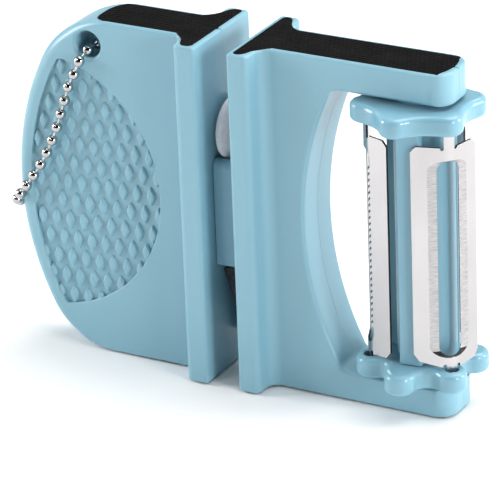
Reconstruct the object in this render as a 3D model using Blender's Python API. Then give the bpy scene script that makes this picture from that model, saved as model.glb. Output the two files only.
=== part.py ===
"""Pocket knife sharpener with a three-blade rotary peeler and a ball chain.

Two plastic halves stand side by side with a knife slot between them, joined at mid-height by a
core block that carries the ceramic wheels (upper slot) and the carbide cutters (lower slot).
The right-hand half is a C-shaped frame whose two arms hold the blade turret.

Millimetres are used throughout; build() turns them into metres.  X runs along the object from
the handle to the turret, -Y is the front, +Z is up.  X values are measured from the middle of
the knife slot and shifted by SLOT_X, so that the whole object is centred on the origin.
"""
import math

import bmesh
import bpy
from mathutils import Matrix, Vector

# ---------------------------------------------------------------- driving dimensions (mm)
MM = 0.001
SLOT_X = -0.68              # where the middle of the knife slot lies in the finished frame
FLOOR_Z = 0.10              # the bottom pads stand this far below the plastic
FIT = 0.30                  # clearance between two touching pieces
HEIGHT = 71.6
SLOT_W = 7.0                # knife slot between the two flanges
WEB_Y = 6.0                 # half thickness of the plates
FLANGE_Y = 11.45            # half depth of the flanges
HANDLE_FLANGE_X = -8.4
FRAME_FLANGE_X = 8.1
SHELL_WALL = 2.3

# D-shaped handle plate: flat top and bottom, a large arc at the end, one round at each corner
D_ARC_R = 59.06
D_ARC_C = (10.11, 34.4)
D_TOP_R = 18.87
D_BOTTOM_R = 14.37
D_EDGE_R = 2.4
CHAIN_HOLE = (-30.65, 66.2)
CHAIN_HOLE_R = 2.75

# grip: a shallow recess filled with raised lozenges
GRIP_OUTER_R = 55.4
GRIP_INNER_C = (-42.9, 35.8)
GRIP_INNER_R = 27.2
GRIP_DEPTH = 0.75
LOZENGE_PITCH = (3.2, 4.15)
LOZENGE_AT = (-27.6, 44.15)
LOZENGE_HALF = (1.25, 2.05)

# C-shaped frame
FRAME_END_X = 47.4
FRAME_END_R = 4.0
OPEN_Z = (6.2, 65.2)
OPEN_WALL_X = 16.4
OPEN_WALL_R = 64.7

# core block, wheels and cutters
BLOCK_Z = (24.0, 46.4)
BLOCK_Y = 6.1
TONGUE_X = 6.0
WHEEL_Z = 51.5
WHEEL_R = 6.35
AXLE_R = 1.5
CUTTER_Y = (2.1, 3.7)
CUTTER_APEX_Z = 12.0
CUTTER_LEAN = 17.0
CUTTER_REACH = (10.8, 6.0)      # above and below the point where the two edges cross
CUTTER_WIDE = 4.5

# turret
TURRET_X = 38.67
KNOB_TOP_Z = (60.1, 64.2)
KNOB_BOTTOM_Z = (6.5, 10.8)
PETAL_AT = 9.9
PETAL_R = 3.1
VALLEY_TOP = (19.45, 8.85)     # (centre's distance from the axis, radius): shallow on the top knob
VALLEY_BOTTOM = (11.03, 2.43)
STUB_R = 2.5
PIVOT_AT = 10.2
PIVOT_HOLE_R = 1.35
CORE_R = 7.1
CORE_TIP_HALF = 2.3
CORE_TURN = 7.0
BLADE_T = 0.5
BLADE_Z = (11.15, 57.3)
BLADE_ARCH_R = 4.0
BLADE_LEG_ANGLE = 30.0
SLOT_HALF = 2.45
SLOT_Z = (13.7, 54.4)
BLADES = (
    # name, pivot azimuth, facing azimuth, half widths, slot's half width at the edge, tooth pitch and depth
    ("peeler_blade", 60.0, 46.0, (7.4, 7.0), 2.45, 0.0, 0.0),
    ("serrated_blade", -60.0, -47.0, (6.3, 6.3), 1.0, 1.3, 0.5),
    ("julienne_blade", 180.0, 180.0, (6.9, 6.9), 2.45, 3.0, 1.2),
)

# pads: (x, half depth) along each pad, seen from above
PAD_PROUD = 0.1
PAD_SUNK = 0.8
HANDLE_PAD = (
    (-30.2, 0.9), (-29.8, 2.8), (-29.0, 4.0), (-27.8, 4.8), (-26.2, 5.2), (-12.0, 5.2), (-10.6, 5.5),
    (-9.5, 6.15), (-8.6, 7.1), (-7.9, 8.3), (-7.35, 9.6), (-6.9, 10.3), (-6.3, 10.75), (-5.3, 10.75),
    (-4.8, 10.5), (-4.5, 9.9),
)
FRAME_PAD = (
    (4.5, 9.9), (4.8, 10.5), (5.3, 10.75), (5.9, 10.75), (6.5, 10.3), (7.0, 9.6), (7.5, 8.3), (8.2, 7.1),
    (9.1, 6.15), (10.2, 5.5), (11.6, 5.2), (42.8, 5.2), (44.3, 4.8), (45.4, 4.0), (46.1, 2.8), (46.4, 0.9),
)

# ball chain: bead pitch and size, and the line it lies on
BEAD_R = 1.2
BEAD_PITCH = 3.2
LINK_R = 0.35
CHAIN_SIDES = 6

COLOURS = {
    "shell": ((0.283, 0.503, 0.631), 0.38, 0.0),
    "knob": ((0.33, 0.56, 0.68), 0.22, 0.0),
    "pad": ((0.020, 0.018, 0.019), 0.85, 0.0),
    "block": ((0.26, 0.47, 0.59), 0.42, 0.0),
    "ceramic": ((0.60, 0.58, 0.60), 0.55, 0.0),
    "carbide": ((0.035, 0.034, 0.036), 0.35, 0.7),
    "steel": ((0.72, 0.71, 0.70), 0.22, 1.0),
    "nickel": ((0.62, 0.60, 0.57), 0.18, 1.0),
}


# ---------------------------------------------------------------- small helpers
def clear():
    for thing in list(bpy.data.objects):
        bpy.data.objects.remove(thing, do_unlink=True)


def material(name, kind):
    colour, roughness, metallic = COLOURS[kind]
    mat = bpy.data.materials.new(name + "_material")
    mat.use_nodes = True
    shader = mat.node_tree.nodes["Principled BSDF"]
    shader.inputs["Base Color"].default_value = (*colour, 1.0)
    shader.inputs["Roughness"].default_value = roughness
    shader.inputs["Metallic"].default_value = metallic
    return mat


def place(point):
    """A point in millimetres from the slot's middle, in metres in the finished frame."""
    return Vector(((point[0] + SLOT_X) * MM, point[1] * MM, (point[2] + FLOOR_Z) * MM))


def build(name, points, faces):
    mesh = bpy.data.meshes.new(name)
    mesh.from_pydata([place(p) for p in points], [], faces)
    obj = bpy.data.objects.new(name, mesh)
    bpy.context.collection.objects.link(obj)
    tidy(obj, 1e-7)
    return obj


def tidy(obj, merge):
    """Weld coincident corners, drop slivers and turn every face outwards."""
    bm = bmesh.new()
    bm.from_mesh(obj.data)
    bmesh.ops.remove_doubles(bm, verts=bm.verts, dist=merge)
    bmesh.ops.dissolve_degenerate(bm, edges=bm.edges, dist=merge)
    bmesh.ops.recalc_face_normals(bm, faces=bm.faces)
    bm.to_mesh(obj.data)
    bm.free()


def loft(name, rings):
    """A closed solid through rings of equally many points, capped at both ends."""
    count = len(rings[0])
    points = [p for ring in rings for p in ring]
    faces = [tuple(range(count)), tuple(range(len(points) - count, len(points)))]
    for k in range(len(rings) - 1):
        for i in range(count):
            j = (i + 1) % count
            faces.append((k * count + i, k * count + j, (k + 1) * count + j, (k + 1) * count + i))
    return build(name, points, faces)


def along(axis, outline, value):
    """A flat outline as 3-D points at one value of the given axis."""
    if axis == "X":
        return [(value, a, b) for a, b in outline]
    if axis == "Y":
        return [(a, value, b) for a, b in outline]
    return [(a, b, value) for a, b in outline]


def prism(axis, outline, low, high):
    return loft("prism", [along(axis, outline, low), along(axis, outline, high)])


def box(low, high):
    outline = [(low[0], low[1]), (high[0], low[1]), (high[0], high[1]), (low[0], high[1])]
    return prism("Z", outline, low[2], high[2])


def arc(centre, radius, start, stop, steps):
    """Points on a circle from one angle to another, in degrees."""
    out = []
    for k in range(steps + 1):
        a = math.radians(start + (stop - start) * k / steps)
        out.append((centre[0] + radius * math.cos(a), centre[1] + radius * math.sin(a)))
    return out


def circle(centre, radius, steps):
    return arc(centre, radius, 0, 360, steps)[:-1]


def offset(outline, distance):
    """A closed outline moved outwards (or inwards, when negative) along its corner normals."""
    count = len(outline)
    area = sum(
        outline[i][0] * outline[(i + 1) % count][1] - outline[(i + 1) % count][0] * outline[i][1]
        for i in range(count)
    )
    sign = 1 if area > 0 else -1
    out = []
    for i, here in enumerate(outline):
        before = outline[i - 1]
        after = outline[(i + 1) % count]
        e1 = Vector((here[0] - before[0], here[1] - before[1])).normalized()
        e2 = Vector((after[0] - here[0], after[1] - here[1])).normalized()
        n1 = Vector((e1.y, -e1.x)) * sign
        n2 = Vector((e2.y, -e2.x)) * sign
        n = n1 + n2
        n = n / max(n.length_squared / 2, 0.5)
        out.append((here[0] + n.x * distance, here[1] + n.y * distance))
    return out


def combine(target, tool, operation):
    """Apply one exact Boolean and remove the tool."""
    modifier = target.modifiers.new("cut", "BOOLEAN")
    modifier.object = tool
    modifier.operation = operation
    modifier.solver = "EXACT"
    graph = bpy.context.evaluated_depsgraph_get()
    mesh = bpy.data.meshes.new_from_object(target.evaluated_get(graph))
    target.modifiers.clear()
    target.data = mesh
    bpy.data.objects.remove(tool, do_unlink=True)
    tidy(target, 2e-6)
    return target


def cut(target, tool):
    return combine(target, tool, "DIFFERENCE")


def join(target, tool):
    return combine(target, tool, "UNION")


def turned_to_back(obj):
    """The same solid mirrored from the front half to the back half."""
    obj.data.transform(Matrix.Diagonal((1, -1, 1, 1)))
    obj.data.flip_normals()
    return obj


def finish(obj, name, kind, smooth_angle=32):
    obj.name = name
    obj.data.name = name
    obj.data.materials.clear()
    obj.data.materials.append(material(name, kind))
    for face in obj.data.polygons:
        face.use_smooth = True
    obj.data.set_sharp_from_angle(angle=math.radians(smooth_angle))
    return obj


def own_origin(obj, origin):
    """Put the object's own origin at a point given in millimetres."""
    at = place(origin)
    obj.data.transform(Matrix.Translation(-at))
    obj.location = at
    return obj


# ---------------------------------------------------------------- outlines shared by several pieces
def handle_outline():
    """The D-shaped outline from its top right to its bottom right, with outward normals and edge rounds."""
    cx, cz = D_ARC_C
    top_z, low_z = HEIGHT - D_TOP_R, D_BOTTOM_R
    top_x = cx - math.sqrt((D_ARC_R - D_TOP_R) ** 2 - (top_z - cz) ** 2)
    low_x = cx - math.sqrt((D_ARC_R - D_BOTTOM_R) ** 2 - (low_z - cz) ** 2)
    top_a = math.degrees(math.atan2(top_z - cz, top_x - cx))
    low_a = math.degrees(math.atan2(low_z - cz, low_x - cx)) % 360
    points = arc((top_x, top_z), D_TOP_R, 90, top_a, 9)
    angles = [90 + (top_a - 90) * k / 9 for k in range(10)]
    points += arc(D_ARC_C, D_ARC_R, top_a, low_a, 9)[1:]
    angles += [top_a + (low_a - top_a) * k / 9 for k in range(1, 10)]
    points += arc((low_x, low_z), D_BOTTOM_R, low_a, 270, 8)[1:]
    angles += [low_a + (270 - low_a) * k / 8 for k in range(1, 9)]
    points = [(-6.0, HEIGHT)] + points + [(-6.0, 0.0)]
    angles = [90.0] + angles + [270.0]
    rounds = []
    for a in angles:
        away = min(abs(a - 90), abs(a - 270))
        rounds.append(0.6 + (D_EDGE_R - 0.6) * min(1.0, away / 35.0))
    return points, angles, rounds


def handle_top_drop(x):
    """How far the handle's top edge has curved down at x."""
    start = handle_outline()[0][1][0]
    reach = max(0.0, start - x)
    return D_TOP_R - math.sqrt(D_TOP_R ** 2 - reach ** 2)


def handle_low_rise(x):
    """How far the handle's bottom edge has curved up at x."""
    start = handle_outline()[0][-2][0]
    reach = max(0.0, start - x)
    return D_BOTTOM_R - math.sqrt(D_BOTTOM_R ** 2 - reach ** 2)


def handle_plan():
    """The flange and the start of the plate in plan, front half only."""
    out = [(-SLOT_W / 2, 1.0), (-SLOT_W / 2, -FLANGE_Y + 0.8)]
    out += arc((-SLOT_W / 2 - 0.8, -FLANGE_Y + 0.8), 0.8, 0, -90, 3)[1:]
    out += arc((HANDLE_FLANGE_X + 1.5, -FLANGE_Y + 1.5), 1.5, -90, -180, 4)
    out += arc((HANDLE_FLANGE_X - 2.6, -WEB_Y - 2.5), 2.6, 0, 84, 5)
    out += [(HANDLE_FLANGE_X - 2.9, -WEB_Y + 0.8), (HANDLE_FLANGE_X - 2.9, 1.0)]
    return out


def frame_plan():
    """The flange, the plate and its rounded end in plan, front half only."""
    out = [(SLOT_W / 2, 1.0), (FRAME_END_X, 1.0), (FRAME_END_X, -WEB_Y + FRAME_END_R)]
    out += arc((FRAME_END_X - FRAME_END_R, -WEB_Y + FRAME_END_R), FRAME_END_R, 0, -90, 6)[1:]
    out += arc((FRAME_FLANGE_X + 2.6, -WEB_Y - 2.6), 2.6, 90, 180, 5)
    out += arc((FRAME_FLANGE_X - 1.5, -FLANGE_Y + 1.5), 1.5, 0, -90, 4)
    out += arc((SLOT_W / 2 + 0.8, -FLANGE_Y + 0.8), 0.8, -90, -180, 3)
    return out


def pad(name, profile, top, grow, sunk, proud):
    """A pad (or, grown a little, the recess that it lies in) that follows the edge of its half."""
    points, faces = [], []
    first, last = profile[0], profile[-1]
    columns = [(x - grow if x == first[0] else x + grow if x == last[0] else x, y + grow) for x, y in profile]
    for x, y in columns:
        bend = (handle_top_drop(x) if top else handle_low_rise(x)) if x < 0 else 0.0
        if top:
            low, high = HEIGHT - bend - sunk, HEIGHT - bend + proud
        else:
            low, high = bend - proud, bend + sunk
        points += [(x, -y, low), (x, y, low), (x, y, high), (x, -y, high)]
    for k in range(len(columns) - 1):
        a, b = 4 * k, 4 * k + 4
        for i in range(4):
            j = (i + 1) % 4
            faces.append((a + i, a + j, b + j, b + i))
    faces += [(0, 1, 2, 3), tuple(len(points) - 4 + i for i in range(4))]
    return build(name, points, faces)


# ---------------------------------------------------------------- handle
def lozenge_grid():
    """Raised lozenges whose centres lie in the grip recess."""
    points, faces = [], []
    pitch_x, pitch_z = LOZENGE_PITCH
    for row in range(-9, 6):
        for column in range(-8, 6):
            x = LOZENGE_AT[0] + pitch_x * (column + 0.5 * (row % 2))
            z = LOZENGE_AT[1] + pitch_z * row
            outer = math.hypot(x - D_ARC_C[0], z - D_ARC_C[1])
            inner = math.hypot(x - GRIP_INNER_C[0], z - GRIP_INNER_C[1])
            if outer > GRIP_OUTER_R - 0.4 or inner > GRIP_INNER_R - 0.3:
                continue
            start = len(points)
            for y, wide in ((-WEB_Y + GRIP_DEPTH + 0.3, 1.16), (-WEB_Y + 0.08, 0.96)):
                w, h = LOZENGE_HALF[0] * wide, LOZENGE_HALF[1] * wide
                points += [(x - w, y, z), (x, y, z - h), (x + w, y, z), (x, y, z + h)]
            faces += [(start, start + 1, start + 2, start + 3), (start + 4, start + 5, start + 6, start + 7)]
            for i in range(4):
                j = (i + 1) % 4
                faces.append((start + i, start + j, start + 4 + j, start + 4 + i))
    return build("lozenges", points, faces)


def grip_outline():
    """The overlap of two circles, as a closed outline."""
    left = [p for p in arc(D_ARC_C, GRIP_OUTER_R, 140, 220, 40)
            if math.dist(p, GRIP_INNER_C) < GRIP_INNER_R - 0.2]
    right = [p for p in arc(GRIP_INNER_C, GRIP_INNER_R, -100, 100, 50)
             if math.dist(p, D_ARC_C) < GRIP_OUTER_R - 0.2]
    return left + right


def handle_shell():
    """The front half of the handle, before the cuts that only one half has."""
    points, angles, rounds = handle_outline()
    rings = [[(x, 1.0, z) for x, z in points]]
    for step in (0, 30, 60, 90):
        t = math.radians(step)
        ring = []
        for (x, z), a, r in zip(points, angles, rounds):
            inset = r * (1 - math.cos(t))
            nx, nz = math.cos(math.radians(a)), math.sin(math.radians(a))
            ring.append((x - nx * inset, -WEB_Y + r - r * math.sin(t), z - nz * inset))
        rings.append(ring)
    shell = loft("handle", rings)
    cut(shell, prism("Y", grip_outline(), -WEB_Y - 1, -WEB_Y + GRIP_DEPTH))
    join(shell, lozenge_grid())

    plan = handle_plan()
    levels = ((-0.04, -0.6), (0.14, -0.18), (0.56, 0.0), (HEIGHT - 0.56, 0.0), (HEIGHT - 0.14, -0.18),
              (HEIGHT + 0.04, -0.6))
    flange = loft("flange", [along("Z", offset(plan, inset), z) for z, inset in levels])
    join(shell, flange)

    hole = [(-7.0, 0.8), (-6.0, 0.35), (-5.6, 0.0), (2.0, 0.0)]
    rings = [along("Y", circle(CHAIN_HOLE, CHAIN_HOLE_R + flare, 24), y) for y, flare in hole]
    cut(shell, loft("hole", rings))

    pocket = [p for p in arc(D_ARC_C, D_ARC_R - SHELL_WALL - 0.4, 140, 220, 44) if 6.0 < p[1] < 60.5]
    pocket += [(-36.5, 3.2), (-12.0, 3.2), (-12.0, 60.5), (-23.0, 60.5)]
    cut(shell, prism("Y", pocket, -WEB_Y + SHELL_WALL + 0.3, 2.0))
    return shell


def slot_side_cuts(shell, side, plan_sign):
    """The tongue socket, the axle groove and the two pad recesses of one shell.

    side is -1 for the handle and +1 for the frame.
    """
    inner = side * SLOT_W / 2
    deep = side * (TONGUE_X + FIT)
    low, high = min(inner - side, deep), max(inner - side, deep)
    cut(shell, box((low, -3.7 - FIT, 27.0 - FIT), (high, 3.7 + FIT, 43.0 + FIT)))
    groove = side * (TONGUE_X + 0.6)
    low, high = min(inner - side, groove), max(inner - side, groove)
    cut(shell, prism("X", circle((0.0, WHEEL_Z), AXLE_R + FIT, 16), low, high))
    profile = HANDLE_PAD if side < 0 else FRAME_PAD
    for top in (True, False):
        cut(shell, pad("recess", profile, top, FIT, PAD_SUNK + FIT, 1.0))
    cut(shell, box((-70, -FIT / 2 if plan_sign < 0 else -40, -5), (70, 40 if plan_sign < 0 else FIT / 2, 90)))
    return shell


def make_handle():
    for name, sign in (("handle_front_shell", -1), ("handle_back_shell", 1)):
        shell = handle_shell()
        if sign > 0:
            turned_to_back(shell)
            cut(shell, cutter_blank(1, FIT))
        slot_side_cuts(shell, -1, sign)
        finish(shell, name, "shell")


# ---------------------------------------------------------------- frame
def opening_outline(grow=0.0):
    """The C-shaped frame's opening: a curved wall on the left, open to the right."""
    centre = (OPEN_WALL_X + OPEN_WALL_R, (OPEN_Z[0] + OPEN_Z[1]) / 2 + 0.7)
    radius = OPEN_WALL_R + grow
    low, high = OPEN_Z[0] - grow, OPEN_Z[1] + grow
    wall = [p for p in arc(centre, radius, 206, 154, 26) if low + 1.7 < p[1] < high - 1.7]
    (x0, z0), (x1, z1) = wall[0], wall[-1]
    lower = [(x0 + 2.6, low), (x0 + 1.4, low + 0.25), (x0 + 0.55, low + 0.85)]
    upper = [(x1 + 0.55, high - 0.85), (x1 + 1.4, high - 0.25), (x1 + 2.6, high)]
    return [(60.0, low)] + lower + wall + upper + [(60.0, high)]


def frame_shell():
    plan = frame_plan()
    rim = ((0.0, -0.6), (0.18, -0.18), (0.6, 0.0))
    levels = rim + tuple((HEIGHT - z, inset) for z, inset in reversed(rim))
    shell = loft("frame", [along("Z", offset(plan, inset), z) for z, inset in levels])
    flare = ((-WEB_Y - 6.0, 0.7), (-WEB_Y - 0.1, 0.7), (-WEB_Y + 0.2, 0.3), (-WEB_Y + 0.7, 0.0), (2.0, 0.0))
    opening = loft("opening", [along("Y", opening_outline(grow), y) for y, grow in flare])
    cut(opening, box((0, -20, -5), (FRAME_FLANGE_X + 3, 5, 90)))
    cut(shell, opening)
    pocket = [(11.0, 3.4), (19.0, 3.4), (14.4, 18.0), (13.2, 36.5), (14.4, 54.0), (19.0, 68.2), (11.0, 68.2)]
    cut(shell, prism("Y", pocket, -WEB_Y + SHELL_WALL, 2.0))
    for low, high in ((OPEN_Z[0] - 3.2, OPEN_Z[0] + 2), (OPEN_Z[1] - 2, OPEN_Z[1] + 3.2)):
        cut(shell, prism("Z", circle((TURRET_X, 0.0), STUB_R + FIT, 24), low, high))
    return shell


def make_frame():
    for name, sign in (("frame_front_shell", -1), ("frame_back_shell", 1)):
        shell = frame_shell()
        if sign > 0:
            turned_to_back(shell)
        else:
            cut(shell, cutter_blank(-1, FIT))
        slot_side_cuts(shell, 1, sign)
        finish(shell, name, "shell")


# ---------------------------------------------------------------- pads
def make_pads():
    for name, profile, top in (
        ("handle_top_pad", HANDLE_PAD, True),
        ("handle_bottom_pad", HANDLE_PAD, False),
        ("frame_top_pad", FRAME_PAD, True),
        ("frame_bottom_pad", FRAME_PAD, False),
    ):
        finish(pad(name, profile, top, 0.0, PAD_SUNK, PAD_PROUD), name, "pad")


# ---------------------------------------------------------------- core block, wheels, cutters
def make_core_block():
    half = SLOT_W / 2 - FIT
    low, high = BLOCK_Z
    outline = [(-BLOCK_Y, low), (BLOCK_Y, low)]
    outline += arc((BLOCK_Y - 1.6, high - 1.6), 1.6, 0, 90, 4)
    outline += arc((-BLOCK_Y + 1.6, high - 1.6), 1.6, 90, 180, 4)
    block = prism("X", outline, -half, half)
    join(block, box((-TONGUE_X, -3.7, 27.0), (TONGUE_X, 3.7, 43.0)))
    cut(block, prism("X", circle((0.0, WHEEL_Z), WHEEL_R + 0.5, 40), -5, 5))
    cut(block, cutter_blank(-1, FIT))
    cut(block, cutter_blank(1, FIT))
    finish(block, "core_block", "block")


def make_wheels():
    profile = ((AXLE_R + FIT, 0.2), (WHEEL_R - 1.9, 0.2), (WHEEL_R - 0.1, 1.2), (WHEEL_R, 1.4),
               (WHEEL_R, 2.1), (WHEEL_R - 0.3, 2.4), (AXLE_R + FIT, 2.4))
    steps = 32
    for name, side in (("ceramic_wheel_left", -1), ("ceramic_wheel_right", 1)):
        points, faces = [], []
        count = len(profile)
        for k in range(steps):
            a = 2 * math.pi * k / steps
            points += [(side * x, r * math.cos(a), WHEEL_Z + r * math.sin(a)) for r, x in profile]
        for k in range(steps):
            for i in range(count):
                j = (i + 1) % count
                n = (k + 1) % steps
                faces.append((k * count + i, k * count + j, n * count + j, n * count + i))
        wheel = build(name, points, faces)
        own_origin(wheel, (0.0, 0.0, WHEEL_Z))
        finish(wheel, name, "ceramic")
    axle = prism("X", circle((0.0, WHEEL_Z), AXLE_R, 20), -TONGUE_X - 0.3, TONGUE_X + 0.3)
    finish(axle, "wheel_axle", "steel")


def cutter_blank(side, grow=0.0):
    """One carbide plate: side -1 is the front plate, held in the frame; +1 the back one, in the handle."""
    lean = math.radians(CUTTER_LEAN)
    along_edge = Vector((math.sin(lean), -math.cos(lean)))
    across = Vector((math.cos(lean), math.sin(lean)))
    apex = Vector((0.0, CUTTER_APEX_Z))
    corners = [apex - along_edge * CUTTER_REACH[0], apex + along_edge * CUTTER_REACH[1]]
    corners += [corners[1] + across * CUTTER_WIDE, corners[0] + across * CUTTER_WIDE]
    outline = [(-side * p.x, p.y) for p in corners]
    if grow:
        outline = offset(outline, grow)
    low, high = CUTTER_Y[0] - grow, CUTTER_Y[1] + grow
    if side < 0:
        low, high = -high, -low
    return prism("Y", outline, low, high)


def make_cutters():
    finish(cutter_blank(-1), "carbide_cutter_front", "carbide")
    finish(cutter_blank(1), "carbide_cutter_back", "carbide")


# ---------------------------------------------------------------- turret
def petal_outline(valley, grow=0.0):
    """Six petals with concave valleys between them, the first petal facing the front."""
    out = []
    valley_at, valley_r = valley
    reach = math.degrees(math.atan2(PETAL_AT * math.sin(math.radians(30)),
                                    valley_at - PETAL_AT * math.cos(math.radians(30))))
    for k in range(6):
        a = -90 + 60 * k
        at = (TURRET_X + PETAL_AT * math.cos(math.radians(a)), PETAL_AT * math.sin(math.radians(a)))
        turn = 30 + reach
        out += arc(at, PETAL_R + grow, a - turn, a + turn, 8)
        b = a + 30
        dip = (TURRET_X + valley_at * math.cos(math.radians(b)), valley_at * math.sin(math.radians(b)))
        out += arc(dip, valley_r - grow, b + 180 + reach, b + 180 - reach, 4)[1:-1]
    return out


def make_knob(name, low, high, outward):
    """A knob with rounded rims, a stub towards its arm and three blind holes for the blade tabs."""
    rim = ((0.0, 1.1), (0.35, 0.4), (1.2, 0.0))
    levels = [(low + rise, inset) for rise, inset in rim]
    levels += [(high - rise, inset) for rise, inset in reversed(rim)]
    valley = VALLEY_TOP if outward > 0 else VALLEY_BOTTOM
    knob = loft(name, [along("Z", petal_outline(valley, -inset), z) for z, inset in levels])
    if outward > 0:
        join(knob, prism("Z", circle((TURRET_X, 0.0), STUB_R, 20), high - 1.0, high + 3.2))
        hole_low, hole_high = low - 1.0, low + 2.6
        socket_low, socket_high = low - 1.0, low + 1.3
    else:
        join(knob, prism("Z", circle((TURRET_X, 0.0), STUB_R, 20), low - 3.2, low + 1.0))
        hole_low, hole_high = high - 2.6, high + 1.0
        socket_low, socket_high = high - 1.3, high + 1.0
    for blade in BLADES:
        cut(knob, prism("Z", circle(pivot(blade[1]), PIVOT_HOLE_R, 12), hole_low, hole_high))
    cut(knob, prism("Z", circle((TURRET_X, 0.0), 2.6 + FIT, 16), socket_low, socket_high))
    finish(knob, name, "knob", 40)
    own_origin(knob, (TURRET_X, 0.0, (low + high) / 2))


def pivot(azimuth):
    a = math.radians(azimuth)
    return (TURRET_X + PIVOT_AT * math.sin(a), -PIVOT_AT * math.cos(a))


def make_core():
    """The three-finned core between the knobs: two hollow sides, and a rounded lobe behind the peeler."""
    outline = []
    for k in range(3):
        a = math.radians(-90 + CORE_TURN + 120 * k)
        out_dir = Vector((math.cos(a), math.sin(a)))
        side_dir = Vector((-out_dir.y, out_dir.x))
        tip = out_dir * CORE_R
        for s, back in ((-1.0, 0.35), (-0.82, 0.0), (0.82, 0.0), (1.0, 0.35)):
            p = tip + side_dir * CORE_TIP_HALF * s - out_dir * back
            outline.append((TURRET_X + p.x, p.y))
        b = a + math.radians(60)
        hollow = ((-34, 5.0), (-18, 4.85), (0, 4.8), (18, 4.85), (34, 5.0))
        lobe = ((-34, 5.7), (-26, 6.15), (-18, 6.5), (-9, 6.8), (0, 7.0), (9, 7.1), (18, 7.12), (34, 7.1))
        for turn, reach in (lobe if k == 0 else hollow):
            c = b + math.radians(turn)
            outline.append((TURRET_X + reach * math.cos(c), reach * math.sin(c)))
    low, high = KNOB_BOTTOM_Z[1] + FIT, KNOB_TOP_Z[0] - FIT
    core = prism("Z", outline, low, high)
    join(core, prism("Z", circle((TURRET_X, 0.0), 2.6, 16), low - 1.0, low + 1.0))
    join(core, prism("Z", circle((TURRET_X, 0.0), 2.6, 16), high - 1.0, high + 1.0))
    own_origin(core, (TURRET_X, 0.0, (low + high) / 2))
    finish(core, "turret_core", "block", 30)


def arch(u):
    """(sideways, backwards, lean) of the blade's middle surface at developed width u."""
    limit = BLADE_ARCH_R * math.radians(BLADE_LEG_ANGLE)
    bend = max(-limit, min(limit, u)) / BLADE_ARCH_R
    side = BLADE_ARCH_R * math.sin(bend)
    back = BLADE_ARCH_R * (1 - math.cos(bend))
    rest = u - bend * BLADE_ARCH_R
    return side + rest * math.cos(bend), back + abs(rest * math.sin(bend)), bend


def blade_sheet(halves, slot_half, pitch, depth):
    """The flat blade as (u, z) points and quads: a frame with a long slot and a tab at each end."""
    left, right = halves
    tab = 1.0
    tab_low, tab_top = KNOB_BOTTOM_Z[1] - 2.2, KNOB_TOP_Z[0] + 2.2
    low, high = BLADE_Z
    slot_low, slot_high = SLOT_Z
    points, index, quads = [], {}, []

    def at(u, z):
        key = (round(u, 4), round(z, 4))
        if key not in index:
            index[key] = len(points)
            points.append(key)
        return index[key]

    def bottom(u):
        return low + (0.1 if u > 0 else 0.2) * abs(u) + (1.3 if u in (-left, right) else 0.0)

    def top(u):
        return high - (1.1 if u in (-left, right) else 0.0)

    def slot_end(u, end):
        edge = slot_half if u > 0 else SLOT_HALF
        bulge = 1.9 * math.sqrt(max(0.0, 1 - (u / edge) ** 2))
        return slot_low - bulge + 1.9 if end < 0 else slot_high + bulge - 1.9

    inner = sorted({-SLOT_HALF, -1.9, -tab, 0.0, tab, 0.5 * (tab + slot_half), slot_half})
    for a, b in zip(inner, inner[1:]):
        quads.append((at(a, bottom(a)), at(b, bottom(b)), at(b, slot_end(b, -1)), at(a, slot_end(a, -1))))
        quads.append((at(a, slot_end(a, 1)), at(b, slot_end(b, 1)), at(b, top(b)), at(a, top(a))))
    for a, b in ((-tab, 0.0), (0.0, tab)):
        quads.append((at(a, top(a)), at(b, top(b)), at(b, tab_top), at(a, tab_top)))
        quads.append((at(a, tab_low), at(b, tab_low), at(b, bottom(b)), at(a, bottom(a))))

    start, stop = slot_low + 1.9, slot_high - 1.9
    for sign, reach, rim in ((-1, left, SLOT_HALF), (1, right, slot_half)):
        edge = [(rim, start)]
        if pitch and sign > 0:
            teeth = int((stop - start - 2.0) / pitch)
            first = (start + stop - teeth * pitch) / 2
            edge.append((rim, first))
            for k in range(teeth):
                edge.append((rim - depth, first + pitch * (k + 0.5)))
                edge.append((rim, first + pitch * (k + 1)))
        edge.append((rim, stop))
        us = (rim + 0.75, (rim + reach) / 2 + 0.2, reach - 1.1, reach)
        columns = [edge] + [[(u, z) for _, z in edge] for u in us]
        for near, far in zip(columns, columns[1:]):
            for k in range(len(edge) - 1):
                quads.append(tuple(at(sign * u, z) for u, z in (near[k], far[k], far[k + 1], near[k + 1])))
            a, b = sign * near[0][0], sign * far[0][0]
            quads.append((at(a, bottom(a)), at(b, bottom(b)), at(b, start), at(a, start)))
            quads.append((at(a, stop), at(b, stop), at(b, top(b)), at(a, top(a))))
    return points, quads


def make_blade(name, azimuth, facing, halves, slot_half, pitch, depth):
    flat, quads = blade_sheet(halves, slot_half, pitch, depth)
    px, py = pivot(azimuth)
    f = math.radians(facing)
    normal = Vector((math.sin(f), -math.cos(f)))
    side = Vector((math.cos(f), math.sin(f)))
    count = len(flat)
    points = []
    for layer in (0.5, -0.5):
        for u, z in flat:
            s, b, lean = arch(u)
            s += layer * BLADE_T * math.sin(lean)
            b -= layer * BLADE_T * math.cos(lean)
            at = Vector((px, py)) + side * s - normal * b
            points.append((at.x, at.y, z))
    faces, edges = [], {}
    for q in quads:
        faces.append(q)
        faces.append(tuple(count + i for i in reversed(q)))
        for i in range(4):
            a, b = q[i], q[(i + 1) % 4]
            edges[(min(a, b), max(a, b))] = edges.get((min(a, b), max(a, b)), 0) + 1
    for (a, b), uses in edges.items():
        if uses == 1:
            faces.append((a, b, count + b, count + a))
    blade = build(name, points, faces)
    own_origin(blade, (px, py, (BLADE_Z[0] + BLADE_Z[1]) / 2))
    finish(blade, name, "steel")


def make_turret():
    make_knob("top_knob", *KNOB_TOP_Z, 1)
    make_knob("bottom_knob", *KNOB_BOTTOM_Z, -1)
    make_core()
    for blade in BLADES:
        make_blade(*blade)


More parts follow.
